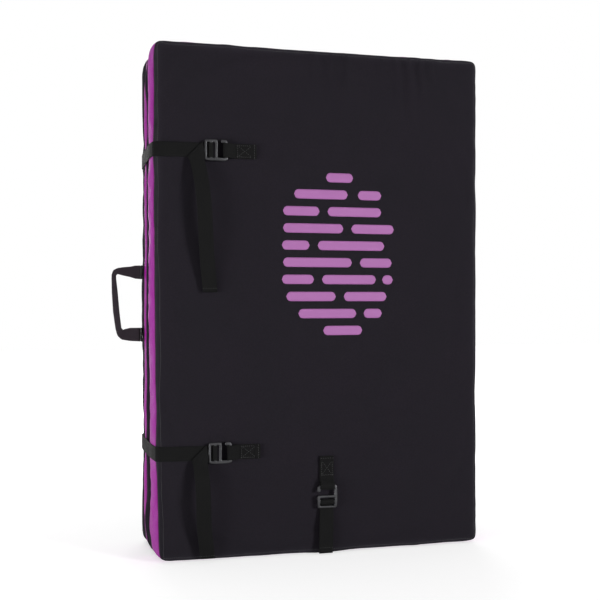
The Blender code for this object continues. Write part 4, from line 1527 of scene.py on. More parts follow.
class CRASHPAD_OT_foams(bpy.types.Operator):
    """The firm and the soft foam inside both halves"""

    bl_idname = "crash_pad.foams"
    bl_label = "Foams"

    def execute(self, context):
        split = skin_depth() - FOAM_INSIDE - FIRM_FOAM
        for prefix, side, body in HALVES:
            for kind, first, last, finish in (
                ("open_cell_foam", None, split - CLEARANCE, soft_foam()),
                ("closed_cell_foam", split, None, firm_foam()),
            ):
                points, faces, _ = half_shell(side, sizes().front_wrap, FOAM_INSIDE, first, last)
                piece = solid(f"{prefix}_{kind}_block", points, faces, finish, sharp=50)
                dressed(piece, body, kind, f"{prefix}_{kind}")
        return {"FINISHED"}


def hinge_level(share):
    """x of the hinge cloth at a share of the way from the fold line to its sewn edge."""
    return sizes().width / 2 + CLEARANCE + HINGE_RISE + HINGE_ARCH * (1 - share * share)


class CRASHPAD_OT_hinge_cloth(bpy.types.Operator):
    """The cloth strip that joins both halves along the fold"""

    bl_idname = "crash_pad.hinge_cloth"
    bl_label = "Hinge Cloth"

    def execute(self, context):
        size = sizes()
        run = size.height - 2 * HINGE_END
        outer = []
        for k in range(HINGE_ROWS + 1):
            z = HINGE_END + run * k / HINGE_ROWS
            for i in range(HINGE_COLUMNS + 1):
                share = 2 * i / HINGE_COLUMNS - 1
                ripple = noise.noise(Vector((0, share * 1.3, z * 26))) * HINGE_RIPPLE * (1 - share * share)
                hem = HINGE_HEM * ease(0.80, 0.86, abs(share))
                outer.append(Vector((hinge_level(share) + ripple + hem, share * HINGE_REACH, z)))
        points = outer + [point - X * size.cloth for point in outer]
        faces, _ = doubled_grid(HINGE_ROWS, HINGE_COLUMNS)
        piece = solid("hinge_cloth_strip", points, faces, black_cloth(), sharp=60)
        lay_flat_map(piece)
        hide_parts("hinge_cloth")
        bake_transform(piece)
        for share in HINGE_SEAM_SHARES:
            low = HINGE_END + HINGE_SEAM_END
            start = Vector((hinge_level(share) + HINGE_HEM, share * HINGE_REACH, low))
            line = [start, start + Z * (run - 2 * HINGE_SEAM_END)]
            sew("back_half" if share > 0 else "front_half", line)
        return {"FINISHED"}


HANDLE_DEPTH = 0.055
HANDLE_TOP, HANDLE_BOTTOM = 0.511, 0.372
GRIP_HALF_THICKNESS = 0.0018
HANDLE_END, HANDLE_END_STITCH = 0.022, 0.0085
HANDLE_SWING_GAP = 0.00095
HANDLE_SLACK = 0.0007
# (out from the wall, height) of both ends of the grip's seam
GRIP_SEAM = ((0.0465, 0.4820), (0.0392, 0.4030))
# (out from the wall, height, way across as x and z, half width) of the arms and the folded grip
HANDLE_ARMS = (
    (0.0120, 0.4987, 0.0, 1.0, 0.0120),
    (0.0213, 0.4992, 0.0, 1.0, 0.0096),
    (0.0346, 0.5000, 0.0, 1.0, 0.0076),
    (0.0430, 0.5004, -0.1, 1.0, 0.0058),
    (0.0483, 0.4982, -0.7, 0.7, 0.0050),
    (0.0506, 0.4930, -1.0, 0.2, 0.0042),
    (0.0506, 0.4860, -1.0, 0.0, 0.0043),
    (0.0490, 0.4620, -1.0, 0.0, 0.0054),
    (0.0465, 0.4276, -1.0, 0.0, 0.0058),
    (0.0437, 0.4054, -1.0, 0.0, 0.0056),
    (0.0422, 0.3955, -1.0, -0.2, 0.0054),
    (0.0390, 0.3880, -0.7, -0.7, 0.0072),
    (0.0345, 0.3850, -0.2, -1.0, 0.0096),
    (0.0213, 0.3850, 0.0, -1.0, 0.0120),
)


def handle_wall():
    """x of the cloth where the handle is sewn on."""
    return -sizes().width / 2 - bow_at(sizes().half_depth - HANDLE_DEPTH)


def handle_stations():
    half, thin, thick = WEB_WIDTH / 2, Y * (WEB / 2), Y * GRIP_HALF_THICKNESS
    sewn = handle_wall() - CLEARANCE - WEB - HANDLE_SWING_GAP
    stations = [(Vector((sewn, HANDLE_DEPTH, HANDLE_TOP - half)), Z * half, thin)]
    for out, height, side, rise, width in HANDLE_ARMS:
        across = Vector((side, 0, rise)).normalized() * width
        fold = ease(0.0120, 0.0050, width)
        centre = Vector((handle_wall() - out, HANDLE_DEPTH, height))
        stations.append((centre, across, thin.lerp(thick, fold)))
    stations.append((Vector((sewn, HANDLE_DEPTH, HANDLE_BOTTOM + half)), -Z * half, thin))
    return between(stations, 5)


class CRASHPAD_OT_handle(bpy.types.Operator):
    """The webbing carry handle with its folded grip, and its two sewn ends"""

    bl_idname = "crash_pad.handle"
    bl_label = "Carry Handle"

    def execute(self, context):
        stations = []
        for centre, across, up in handle_stations():
            slack = noise.noise(Vector((centre.x * 20, 5, centre.z * 24))) * HANDLE_SLACK
            loose = ease(0.004, 0.020, handle_wall() - centre.x)
            stations.append((centre + Y * slack * loose, across, up))
        piece = ribbon("carry_handle_webbing", stations, handle_cloth())
        dressed(piece, "handle", "webbing", "carry_handle")
        near = handle_wall() - CLEARANCE - WEB / 2
        half = WEB_WIDTH / 2
        for end, height in (("upper", HANDLE_TOP - half), ("lower", HANDLE_BOTTOM + half)):
            name = f"handle_{end}_end"
            middle = Vector((near, HANDLE_DEPTH, height))
            path = [middle + Y * (HANDLE_END * quarter / 4) for quarter in range(-2, 3)]
            patch = ribbon(f"{name}_patch", along(path, Z * half, WEB / 2))
            dressed(patch, "back_half", "webbing", name)
            for off in (HANDLE_END_STITCH, -HANDLE_END_STITCH):
                spot = middle - X * (WEB / 2 + THREAD_RISE) - Y * off
                sew("back_half", [spot - Z * (half - BOX_MARGIN), spot + Z * (half - BOX_MARGIN)])
        for side in (-1, 1):
            y = HANDLE_DEPTH + side * (GRIP_HALF_THICKNESS + THREAD_RISE)
            sew("handle", [Vector((handle_wall() - out, y, height)) for out, height in GRIP_SEAM])
        return {"FINISHED"}


# Bars of the print: (middle x, middle z, length), all one width with round ends
PRINT_BAR = 0.0165
PRINT_CELL, PRINT_ROWS, PRINT_TIP = 0.0025, 6, 0.0004
INK_THICKNESS, INK_RISE = 0.0004, 0.00012
PRINT_BARS = (
    (0.030, 0.664, 0.050),
    (-0.004, 0.634, 0.098),
    (0.086, 0.634, 0.044),
    (-0.040, 0.604, 0.066),
    (0.058, 0.604, 0.100),
    (-0.018, 0.574, 0.110),
    (0.092, 0.574, 0.080),
    (-0.050, 0.544, 0.050),
    (0.052, 0.544, 0.124),
    (-0.010, 0.514, 0.126),
    (0.098, 0.514, 0.060),
    (-0.046, 0.484, 0.058),
    (0.048, 0.484, 0.100),
    (0.120, 0.484, 0.020),
    (-0.022, 0.454, 0.090),
    (0.078, 0.454, 0.080),
    (0.008, 0.424, 0.106),
    (0.092, 0.424, 0.034),
    (0.036, 0.394, 0.072),
)


class CRASHPAD_OT_face_print(bpy.types.Operator):
    """A plain pattern of round-ended bars, printed on the front face"""

    bl_idname = "crash_pad.face_print"
    bl_label = "Face Print"

    def execute(self, context):
        skin = skins["front_carry_panel"]
        points, faces = [], []
        radius = PRINT_BAR / 2
        wide = PRINT_ROWS + 1
        for x, z, length in PRINT_BARS:
            columns = max(round(length / PRINT_CELL), 6)
            start = len(points)
            for i in range(columns + 1):
                off = length * (i / columns - 0.5)
                into_end = max(radius - (length / 2 - abs(off)), 0)
                bulge = max(math.sqrt(max(radius**2 - into_end**2, 0)), PRINT_TIP)
                for k in range(wide):
                    over = Vector((x + off, -0.2, z + (k / PRINT_ROWS * 2 - 1) * bulge)) + shift()
                    hit = skin.ray_cast(over, Y)[0]
                    points.append(hit - Y * INK_RISE - shift())
            for i in range(columns):
                for k in range(PRINT_ROWS):
                    a = start + i * wide + k
                    faces.append([a, a + wide, a + wide + 1, a + 1])
        piece = solid("front_face_print", points, faces, face_ink())
        flip_to(piece, -Y)
        depth = piece.modifiers.new("depth", "SOLIDIFY")
        depth.thickness = INK_THICKNESS
        depth.offset = -1
        baked(piece)
        lay_flat_map(piece)
        dressed(piece, "front_half", "purple_cloth")
        return {"FINISHED"}


def flip_to(piece, way):
    """Turns an open sheet's faces to look along `way`."""
    shape = bmesh.new()
    shape.from_mesh(piece.data)
    wrong = [face for face in shape.faces if face.normal.dot(way) < 0]
    bmesh.ops.reverse_faces(shape, faces=wrong)
    shape.to_mesh(piece.data)
    shape.free()


# Shoulder straps

SHOULDERS = {"left": -0.090, "right": 0.090}
SHOULDER_TOP, SHOULDER_LENGTH = 0.690, 0.370
SHOULDER_WIDTH, SHOULDER_PADDING, SHOULDER_ARCH = 0.065, 0.012, 0.052
SHOULDER_PATH_SHARES = (
    (0.0, 0.0), (0.08, 0.0), (0.2, 0.34), (0.38, 0.83), (0.55, 1.0), (0.72, 0.88), (0.86, 0.6), (1.0, 0.36),
)
ANCHOR_HEIGHT, ANCHOR_LENGTH, ANCHOR_WIDTH = 0.105, 0.040, 0.036
LOCK_TAB_LAP = 0.040
SHOULDER_TAIL = 0.090
PAD_ROWS, PAD_COLUMNS = 74, 18
PAD_QUILT_SHARES = (0.035, 0.36, 0.67, 0.965)
PAD_END_NARROWING, PAD_WAIST = 0.20, 0.05
QUILT_THIN_SHARE, QUILT_RISE = 0.42, 0.0004
BINDING_HALF_WIDTH, BINDING_HALF_THICKNESS = 0.0030, 0.0024
SHOULDER_PRESSURE, SHOULDER_CAP = 3.0, 0.0022


def smooth_point(points, share):
    """A point of the smooth curve through `points`, at this share of its spans."""
    place = share * (len(points) - 1)
    i = min(int(place), len(points) - 2)
    t = place - i
    before, start = points[max(i - 1, 0)], points[i]
    end, after = points[i + 1], points[min(i + 2, len(points) - 1)]
    slope_in, slope_out = (end - before) / 2, (after - start) / 2
    eased = start * (2 * t**3 - 3 * t**2 + 1) + end * (3 * t**2 - 2 * t**3)
    return eased + slope_in * (t**3 - 2 * t**2 + t) + slope_out * (t**3 - t**2)


def shoulder_path(x):
    """A shoulder strap's middle line: sewn flat at its top, then arching off the back face."""
    level = FACE_LEVEL + SHOULDER_PADDING / 2
    route = [
        Vector((x, level + SHOULDER_ARCH * arch, SHOULDER_TOP - SHOULDER_LENGTH * share))
        for share, arch in SHOULDER_PATH_SHARES
    ]
    path = [smooth_point(route, step / PAD_ROWS) for step in range(PAD_ROWS + 1)]
    for point in path:
        point.y = max(point.y, level)
    return path


def add_shoulder_pad(side, x):
    """A quilted pad: two cloth faces round foam, blown up between their seams, with a bound edge."""
    path = shoulder_path(x)
    frames = []
    for i, point in enumerate(path):
        ahead = (path[min(i + 1, PAD_ROWS)] - path[max(i - 1, 0)]).normalized()
        frames.append((point, X.cross(ahead).normalized()))
    flat, hold = [], []
    for face in (1, -1):
        for k, (point, out) in enumerate(frames):
            share = k / PAD_ROWS
            end = min(share, 1 - share)
            waist = PAD_WAIST * math.sin(math.pi * share)
            narrow = 1 - PAD_END_NARROWING * (1 - ease(0.0, 0.07, end)) - waist
            for i in range(PAD_COLUMNS + 1):
                across = 2 * i / PAD_COLUMNS - 1
                thin = 0.0014 + (SHOULDER_PADDING / 2 - 0.0026) * (1 - abs(across) ** 5)
                quilt = min(abs(share - line) for line in PAD_QUILT_SHARES) * SHOULDER_LENGTH
                if abs(across) < 1:
                    thin *= QUILT_THIN_SHARE + (1 - QUILT_THIN_SHARE) * ease(0.0, 0.012, quilt)
                flat.append(point + X * (across * narrow * SHOULDER_WIDTH / 2) + out * (face * thin))
                hold.append(1.0 if abs(across) > 0.9 or quilt < 0.003 else 0.25)
    wide, count = PAD_COLUMNS + 1, len(flat) // 2
    faces, rim = doubled_grid(PAD_ROWS, PAD_COLUMNS)
    ways = [Vector()] * len(flat)
    ways = swelled(f"{side}_shoulder_skin", flat, faces, hold, SHOULDER_PRESSURE, SHOULDER_CAP)
    places = [point + way for point, way in zip(flat, ways)]
    piece = rounded_once(solid(f"{side}_shoulder_pad_cloth", places, faces, shoulder_cloth()))
    lay_flat_map(piece)
    dressed(piece, "back_half", "shoulder_cloth", f"{side}_shoulder_pad")
    edge = [(flat[i] + flat[i + count]) / 2 for i in rim]
    add_binding(f"{side}_shoulder_binding", edge + edge[:2])
    for line in PAD_QUILT_SHARES:
        k = round(line * PAD_ROWS)
        for first, rise in ((0, QUILT_RISE), (count, -QUILT_RISE)):
            row = [places[first + k * wide + i] for i in range(2, PAD_COLUMNS - 1)]
            sew("back_half", [point + frames[k][1] * rise for point in row])
    for column in (2, PAD_COLUMNS - 2):
        rows = range(3, PAD_ROWS - 2)
        sew("back_half", [places[k * wide + column] + frames[k][1] * QUILT_RISE for k in rows])


def add_binding(name, edge):
    """Folded tape over a pad's edge."""
    stations = []
    for i, point in enumerate(edge[:-1]):
        ahead = (edge[i + 1] - edge[i - 1 if i else -3]).normalized()
        aside = ahead.cross(Y)
        aside = aside.normalized() if aside.length > 0.2 else X
        up = aside.cross(ahead).normalized()
        stations.append((point, aside * BINDING_HALF_WIDTH, up * BINDING_HALF_THICKNESS))
    piece = ribbon(name, stations, webbing())
    dressed(piece, "back_half", "webbing")


def lock_seat(x):
    """Where a ladder-lock hangs from its tab, under a shoulder pad's lower end."""
    end = FACE_LEVEL + SHOULDER_ARCH * SHOULDER_PATH_SHARES[-1][1]
    level = end - CLEARANCE - TAIL_LEVEL - WEB / 2
    height = SHOULDER_TOP - SHOULDER_LENGTH + LOCK_TAB_LAP / 2 - LOCK_MIDDLE - LOCK_TAB_LAP
    return Seat((x, level, height), Z, X)


class CRASHPAD_OT_shoulder_straps(bpy.types.Operator):
    """Both padded shoulder straps with their tabs, lower webbings and anchor patches"""

    bl_idname = "crash_pad.shoulder_straps"
    bl_label = "Shoulder Straps"

    def execute(self, context):
        for side, x in SHOULDERS.items():
            add_shoulder_pad(side, x)
            seat = lock_seat(x)
            reach = LOCK_MIDDLE + LOCK_TAB_LAP
            add_tab(f"{side}_shoulder_tab", seat, LOCK_MIDDLE, LOCK_BAR, reach, "back_half")
            foot = Vector((x, FACE_LEVEL + WEB / 2, ANCHOR_HEIGHT))
            patch = [foot + Z * (share * ANCHOR_LENGTH) for share in (0, 0.02, 0.25, 0.5, 0.75, 0.98, 1)]
            piece = ribbon(f"{side}_shoulder_anchor_patch", along(patch, X * (ANCHOR_WIDTH / 2), WEB / 2))
            dressed(piece, "back_half", "webbing", f"{side}_shoulder_anchor")
            on_patch = foot + Y * (WEB + CLEARANCE)
            path = [on_patch + Z * 0.004, on_patch + Z * ANCHOR_LENGTH, seat.at(-0.005, 0, LOAD_LEVEL)]
            stations = along(laid(path + threading(seat)), X * (WEB_WIDTH / 2), WEB / 2)
            stations = carried_on(stations, hanging_tail(seat, SHOULDER_TAIL))
            web = ribbon(f"{side}_shoulder_webbing_strap", stations)
            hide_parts(f"{side}_shoulder_webbing")
            low, high = seat.at(-0.070, 0, 0) + shift(), seat.at(-0.004, 0, 0) + shift()
            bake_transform(web)
            middle = on_patch + Y * (WEB / 2) + Z * (ANCHOR_LENGTH / 2 + 0.001)
            sew_box("back_half", middle, X * (WEB_WIDTH / 2 - BOX_MARGIN), Z * 0.013, Y * THREAD_RISE)
            for edge in (-1, 1):
                column = foot + X * (edge * (ANCHOR_WIDTH / 2 - BOX_MARGIN)) + Y * (WEB / 2)
                sew("back_half", [column + Z * (share * ANCHOR_LENGTH) for share in (0.06, 0.94)])
        return {"FINISHED"}


LOCK_ROUNDING = 1.2 * MM
LOCK_OUTLINE = (
    (0.0, -16.0, 4.5), (0.0, 16.0, 4.5), (27.0, 18.2, 6.0),
    (29.0, 14.0, 3.0), (29.0, -14.0, 3.0), (27.0, -18.2, 6.0),
)
LOCK_NEAR_SLOT = ((4.6, -13.0, 1.5), (4.6, 13.0, 1.5), (9.2, 13.0, 1.5), (9.2, -13.0, 1.5))
LOCK_FAR_SLOT = ((13.8, -13.0, 1.5), (13.8, 13.0, 1.5), (24.0, 13.0, 1.5), (24.0, -13.0, 1.5))


class CRASHPAD_OT_ladder_locks(bpy.types.Operator):
    """The ladder-locks that adjust the shoulder straps"""

    bl_idname = "crash_pad.ladder_locks"
    bl_label = "Ladder-locks"

    def execute(self, context):
        for side, x in SHOULDERS.items():
            outlines = (LOCK_OUTLINE, LOCK_NEAR_SLOT, LOCK_FAR_SLOT)
            node = f"{side}_ladder_lock"
            piece = plate(f"{node}_frame", outlines, BUCKLE_THICKNESS, LOCK_ROUNDING, moulded_plastic())
            seated(piece, lock_seat(x), BAR_LEVEL)
            dressed(piece, f"{side}_lock", "black_plastic", node)
        return {"FINISHED"}


# Waist belt

BELT_HEIGHT, BELT_REACH = 0.065, 0.170
SOCKET_LENGTH, BELT_BUCKLE_WIDTH, BELT_BUCKLE_THICKNESS = 0.034, 0.036, 0.010
MALE_BODY = 0.010
BELT_WEB_SLOT = 0.004
BELT_BEND = 0.006
BELT_BOX, BELT_BOX_HALF = 0.014, 0.011

SOCKET_PLATE = (
    (-34.0, -17.0, 4.0), (-34.0, 17.0, 4.0), (-20.0, 18.0, 3.0), (-13.0, 15.4, 4.0), (-5.0, 15.4, 3.0),
    (0.0, 17.6, 1.5), (0.0, 7.0, 2.0), (-3.0, 0.0, 6.0), (0.0, -7.0, 2.0), (0.0, -17.6, 1.5),
    (-5.0, -15.4, 3.0), (-13.0, -15.4, 4.0), (-20.0, -18.0, 3.0),
)
SOCKET_SPINE = ((-33.6, -17.0, 2.0), (-33.6, 17.0, 2.0), (-22.0, 17.4, 1.5), (-22.0, -17.4, 1.5))
SOCKET_RAIL = ((-4.4, 15.8, 1.2), (-4.4, 17.8, 1.2), (-0.2, 17.8, 1.2), (-0.2, 15.8, 1.2))
MALE_SLOT = ((5.0, -13.2, 1.4), (5.0, 13.2, 1.4), (8.0, 13.2, 1.4), (8.0, -13.2, 1.4))
MALE_COLLAR = ((0.5, -17.8, 1.5), (0.5, 17.8, 1.5), (4.6, 17.8, 2.0), (4.6, -17.8, 2.0))
# One side of the male half, from its middle prong round a side prong to its back corner
MALE_SIDE = (
    (-17.0, 2.2, 1.6), (0.4, 3.2, 0.8), (0.4, 8.2, 1.5), (-6.0, 8.6, 4.0), (-14.0, 10.6, 4.0),
    (-22.0, 10.4, 1.5), (-23.8, 12.4, 2.2), (-20.5, 15.2, 2.0), (-12.0, 15.0, 3.0),
    (0.4, 14.6, 0.8), (0.4, 17.6, 1.5), (3.0, 17.9, 2.0), (10.0, 17.0, 3.5),
)


def belt_level():
    """y of the back face under the waist belt."""
    size = sizes()
    above = size.height / 2 - BELT_HEIGHT - BELT_BUCKLE_WIDTH / 2
    return size.half_depth + crown_at(above / (size.height / 2 - size.carry_radius)) + CLEARANCE


def mirrored(outline):
    return tuple((u, -v, radius) for u, v, radius in outline)


def joined(name, pieces):
    """One piece of several meshes that share a finish."""
    shape = bmesh.new()
    for piece in pieces:
        shape.from_mesh(piece.data)
    mesh = bpy.data.meshes.new(name)
    shape.to_mesh(mesh)
    shape.free()
    mesh.materials.append(pieces[0].data.materials[0])
    for piece in pieces:
        bpy.data.objects.remove(piece)
    return made(name, mesh)


class CRASHPAD_OT_waist_belt(bpy.types.Operator):
    """The waist webbings and the side-release buckle between them"""

    bl_idname = "crash_pad.waist_belt"
    bl_label = "Waist Belt"

    def execute(self, context):
        middle = belt_level() + BELT_BUCKLE_THICKNESS / 2
        seat = Seat((0, middle, BELT_HEIGHT), X, -Z)
        seat.w = Y
        plastic = moulded_plastic()
        shell = (
            (SOCKET_PLATE, 2.0, 4.0),
            (SOCKET_PLATE, 2.0, -4.0),
            (SOCKET_SPINE, 6.4, 0.0),
            (SOCKET_RAIL, 7.0, 0.0),
            (mirrored(SOCKET_RAIL), 7.0, 0.0),
        )
        parts = []
        for outline, thickness, level in shell:
            part = plate("socket_part", (outline,), thickness * MM, 0.7 * MM, plastic)
            parts.append(seated(part, seat, level * MM))
        socket = joined("waist_buckle_socket", parts)
        dressed(socket, "back_half", "black_plastic", "waist_buckle_female")
        parts = []
        frame_outline = mirrored(MALE_SIDE)[::-1] + MALE_SIDE
        for outlines, thickness in (((frame_outline, MALE_SLOT), 3.6), ((MALE_COLLAR,), 9.6)):
            part = plate("male_part", outlines, thickness * MM, 0.9 * MM, plastic)
            parts.append(seated(part, seat, 0))
        male = joined("waist_buckle_clip", parts)
        dressed(male, "waist_release", "black_plastic", "waist_buckle_male")
        flat = belt_level() + WEB / 2
        ends = {
            "left_waist_webbing": (-BELT_REACH, -SOCKET_LENGTH - CLEARANCE),
            "right_waist_webbing": (BELT_REACH, MALE_BODY + CLEARANCE),
        }
        for name, (sewn, buckle) in ends.items():
            toward = math.copysign(1, sewn)
            bends = (
                (sewn, flat),
                (buckle + toward * WEB_WIDTH, flat),
                (buckle + toward * BELT_WEB_SLOT, middle),
                (buckle - toward * 0.0006, middle),
            )
            path = [Vector((x, y, BELT_HEIGHT)) for x, y in bends]
            path = spaced(smooth_corners(path, BELT_BEND), STATION_STEP)
            piece = ribbon(f"{name}_strap", along(path, Z * (WEB_WIDTH / 2), WEB / 2))
            dressed(piece, "back_half", "webbing", name)
            if name == "right_waist_webbing":
                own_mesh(piece)
            spot = Vector((sewn - toward * BELT_BOX, flat, BELT_HEIGHT))
            level = Y * (WEB / 2 + THREAD_RISE)
            sew_box("back_half", spot, Z * (WEB_WIDTH / 2 - BOX_MARGIN), X * BELT_BOX_HALF, level)
        return {"FINISHED"}


# Foam access zips

ZIP_MARGIN = 0.055
ZIP_TAIL = 0.006
TAPE_THICKNESS = 0.0012
TAPE_SEAMS, TAPE_SEAM_END = (0.0098, 0.0122), 0.004
TAPE_STEPS, COIL_GAP = 60, 0.0002
# The coil's beads: length, width and height
TOOTH_LENGTH, TOOTH_WIDTH, TEETH_HEIGHT = 0.0011, 0.0030, 0.0016
TEETH_OFF, TEETH_END = 0.0011, 0.003
# The stops at both ends: past the zip's end, off the cloth, and half their size along it, across and up
STOP_OFF, STOP_LEVEL = 0.0022, 0.0018
STOP_HALF = (0.0016, 0.0032, 0.0013)
SLIDER_ROUNDING = 0.3 * MM
SLIDER_OUTLINE = (
    (0.0, -3.9, 1.6), (0.0, 3.9, 1.6), (8.0, 4.6, 3.0),
    (14.0, 4.9, 3.0), (14.0, -4.9, 3.0), (8.0, -4.6, 3.0),
)
SLIDER_WALL = ((1.0, 4.0, 0.5), (13.0, 4.9, 0.5), (13.0, 3.5, 0.5), (1.0, 3.3, 0.5))
SLIDER_RIB = ((1.0, -1.0, 0.8), (1.0, 1.0, 0.8), (10.5, 1.0, 0.8), (10.5, -1.0, 0.8))
PULL_OUTLINE = (
    (2.6, -2.6, 1.5), (2.6, 2.6, 1.5), (-2.0, 2.2, 2.0),
    (-8.6, 3.3, 2.4), (-8.6, -3.3, 2.4), (-2.0, -2.2, 2.0),
)
PULL_WINDOW = ((1.2, -1.2, 0.5), (1.2, 1.2, 0.5), (-0.4, 1.2, 0.5), (-0.4, -1.2, 0.5))
PULL_HOLE = ((-4.4, -1.1, 0.8), (-4.4, 1.1, 0.8), (-7.0, 1.3, 1.0), (-7.0, -1.3, 1.0))


def repeat_tree(name, pitch, length, width, height, sides):
    """Copies of a small smooth bead along the lines of a mesh, made real."""
    tree = bpy.data.node_groups.new(name, "GeometryNodeTree")
    tree.interface.new_socket("Geometry", in_out="INPUT", socket_type="NodeSocketGeometry")
    for label, value in (("Pitch", pitch), ("Length", length), ("Width", width), ("Height", height)):
        socket = tree.interface.new_socket(label, in_out="INPUT", socket_type="NodeSocketFloat")
        socket.default_value = value
    tree.interface.new_socket("Material", in_out="INPUT", socket_type="NodeSocketMaterial")
    tree.interface.new_socket("Geometry", in_out="OUTPUT", socket_type="NodeSocketGeometry")
    given = tree.nodes.new("NodeGroupInput").outputs
    end = tree.nodes.new("NodeGroupOutput")

    def step(kind, inputs, **settings):
        return add_node(tree, f"GeometryNode{kind}", inputs, **settings).outputs

    curve = step("MeshToCurve", {"Mesh": given["Geometry"]})
    spots = step("CurveToPoints", {"Curve": curve[0], "Length": given["Pitch"]}, mode="LENGTH")
    bead = step("MeshUVSphere", {"Segments": sides, "Rings": 4, "Radius": 0.5})
    parts = {"X": given["Width"], "Y": given["Height"], "Z": given["Length"]}
    scale = add_node(tree, "ShaderNodeCombineXYZ", parts).outputs[0]
    places = {"Points": spots["Points"], "Rotation": spots["Rotation"]}
    copies = step("InstanceOnPoints", {**places, "Instance": bead[0], "Scale": scale})
    real = step("RealizeInstances", {"Geometry": copies[0]})
    smooth = step("SetShadeSmooth", {"Geometry": real[0]})
    faced = step("SetMaterial", {"Geometry": smooth[0], "Material": given["Material"]})
    tree.links.new(faced[0], end.inputs["Geometry"])
    return tree


def repeated(name, lines, tree, material, pitch):
    """One mesh of the tree's beads along these lines, which are already in the frame's place."""
    mesh = bpy.data.meshes.new(name)
    points, edges = [], []
    for line in lines:
        edges += [(len(points) + i, len(points) + i + 1) for i in range(len(line) - 1)]
        points += line
    mesh.from_pydata(points, edges, [])
    piece = made(name, mesh)
    nodes = piece.modifiers.new("beads", "NODES")
    nodes.node_group = tree
    values = {"Material": material, "Pitch": pitch}
    for item in tree.interface.items_tree:
        if item.in_out == "INPUT" and item.name in values:
            nodes[item.identifier] = values[item.name]
    baked(piece)
    return piece


class CRASHPAD_OT_zips(bpy.types.Operator):
    """The zips that open each half for its foam: tape, coil, slider and pull"""

    bl_idname = "crash_pad.zips"
    bl_label = "Foam Zips"

    def execute(self, context):
        size = sizes()
        wall = size.width / 2 + CLEARANCE
        top = wall + TAPE_THICKNESS
        low, high = ZIP_MARGIN, size.height - ZIP_MARGIN
        run = Z * (high - low + 2 * ZIP_TAIL)
        pitch = size.tooth_pitch
        teeth = repeat_tree("zip_teeth", pitch, TOOTH_LENGTH, TOOTH_WIDTH, TEETH_HEIGHT, 6)
        for prefix, side, body in HALVES:
            middle = side * size.half_depth / 2
            for edge, end in ((1, "near"), (-1, "far")):
                centre = middle + edge * (TAPE_HALF / 2 + COIL_GAP)
                start = Vector((wall + TAPE_THICKNESS / 2, centre, low - ZIP_TAIL))
                path = [start + run * (k / TAPE_STEPS) for k in range(TAPE_STEPS + 1)]
                stations = along(path, Y * (TAPE_HALF / 2 - COIL_GAP), TAPE_THICKNESS / 2)
                piece = ribbon(f"{prefix}_zip_tape_{end}", stations, zip_tape())
                dressed(piece, body, "zip_tape")
                for off in TAPE_SEAMS:
                    spot = Vector((top + THREAD_RISE, middle + edge * off, 0))
                    sew(body, [spot + Z * (low + TAPE_SEAM_END), spot + Z * (high - TAPE_SEAM_END)])
            lines = []
            for edge in (-1, 1):
                start = low + TEETH_END + (pitch / 2 if edge > 0 else 0)
                spot = Vector((top + TEETH_HEIGHT / 2 - 0.0001, middle + edge * TEETH_OFF, 0)) + shift()
                lines.append([spot + Z * start, spot + Z * (high - TEETH_END)])
            coil = repeated(f"{prefix}_zip_teeth", lines, teeth, zip_coil(), pitch)
            dressed(coil, body, "zip_tape", f"{prefix}_zip_tape")
            for height in (low - STOP_OFF, high + STOP_OFF):
                spot = Vector((wall + STOP_LEVEL, middle, height))
                long, wide, high_up = STOP_HALF
                stop = along([spot - Z * long, spot + Z * long], Y * wide, high_up)
                piece = ribbon(f"{prefix}_zip_stop_{round(height * 1000)}", stop, zip_metal())
                dressed(piece, body, "zip_metal")
            self.add_slider(prefix, middle, top, low)
        return {"FINISHED"}

    def add_slider(self, prefix, middle, tape, low):
        seat = Seat((tape, middle, low), Z, -Y)
        seat.w = X
        shapes = (
            ((SLIDER_OUTLINE,), 1.3, 2.55),
            ((SLIDER_RIB,), 1.5, 3.6),
            ((PULL_OUTLINE, PULL_WINDOW, PULL_HOLE), 0.9, 4.0),
            ((mirrored(SLIDER_WALL),), 2.0, 1.4),
            ((SLIDER_WALL,), 2.0, 1.4),
        )
        parts = []
        for outlines, thickness, level in shapes:
            part = plate("slider_part", outlines, thickness * MM, SLIDER_ROUNDING, zip_metal())
            parts.append(seated(part, seat, level * MM))
        piece = joined(f"{prefix}_zip_slider_body", parts)
        dressed(piece, f"{prefix}_slider", "zip_metal", f"{prefix}_zip_slider")


# Sewing

STITCH_LENGTH, THREAD = 0.0028, 0.00062


class CRASHPAD_OT_stitches(bpy.types.Operator):
    """Every stitch of the seams, boxes and hems that the other pieces asked for"""

    bl_idname = "crash_pad.stitches"
    bl_label = "Stitches"

    def execute(self, context):
        pitch = sizes().stitch_pitch
        tree = repeat_tree("stitches", pitch, STITCH_LENGTH, THREAD, THREAD, 5)
        for group, lines in seams.items():
            piece = repeated(f"{group}_stitches", lines, tree, sewing_thread(), pitch)
            if group == "closure_straps":
                dressed(piece, "back_half", "webbing")
                squashed(piece)
            else:
                dressed(piece, group, "webbing")
        return {"FINISHED"}


# Studio

CAMERA_PLACE = (-0.4505, -1.7780, 0.4478)
CAMERA_YAW = 14.85
LENS = 58.74
FLOOR_SIZE = 14.0
# How bright the floor looks under the pad, and from where to where it goes to white
FLOOR_GLOW, FLOOR_FADE = 0.55, (0.45, 2.2)
AMBIENT = 0.18
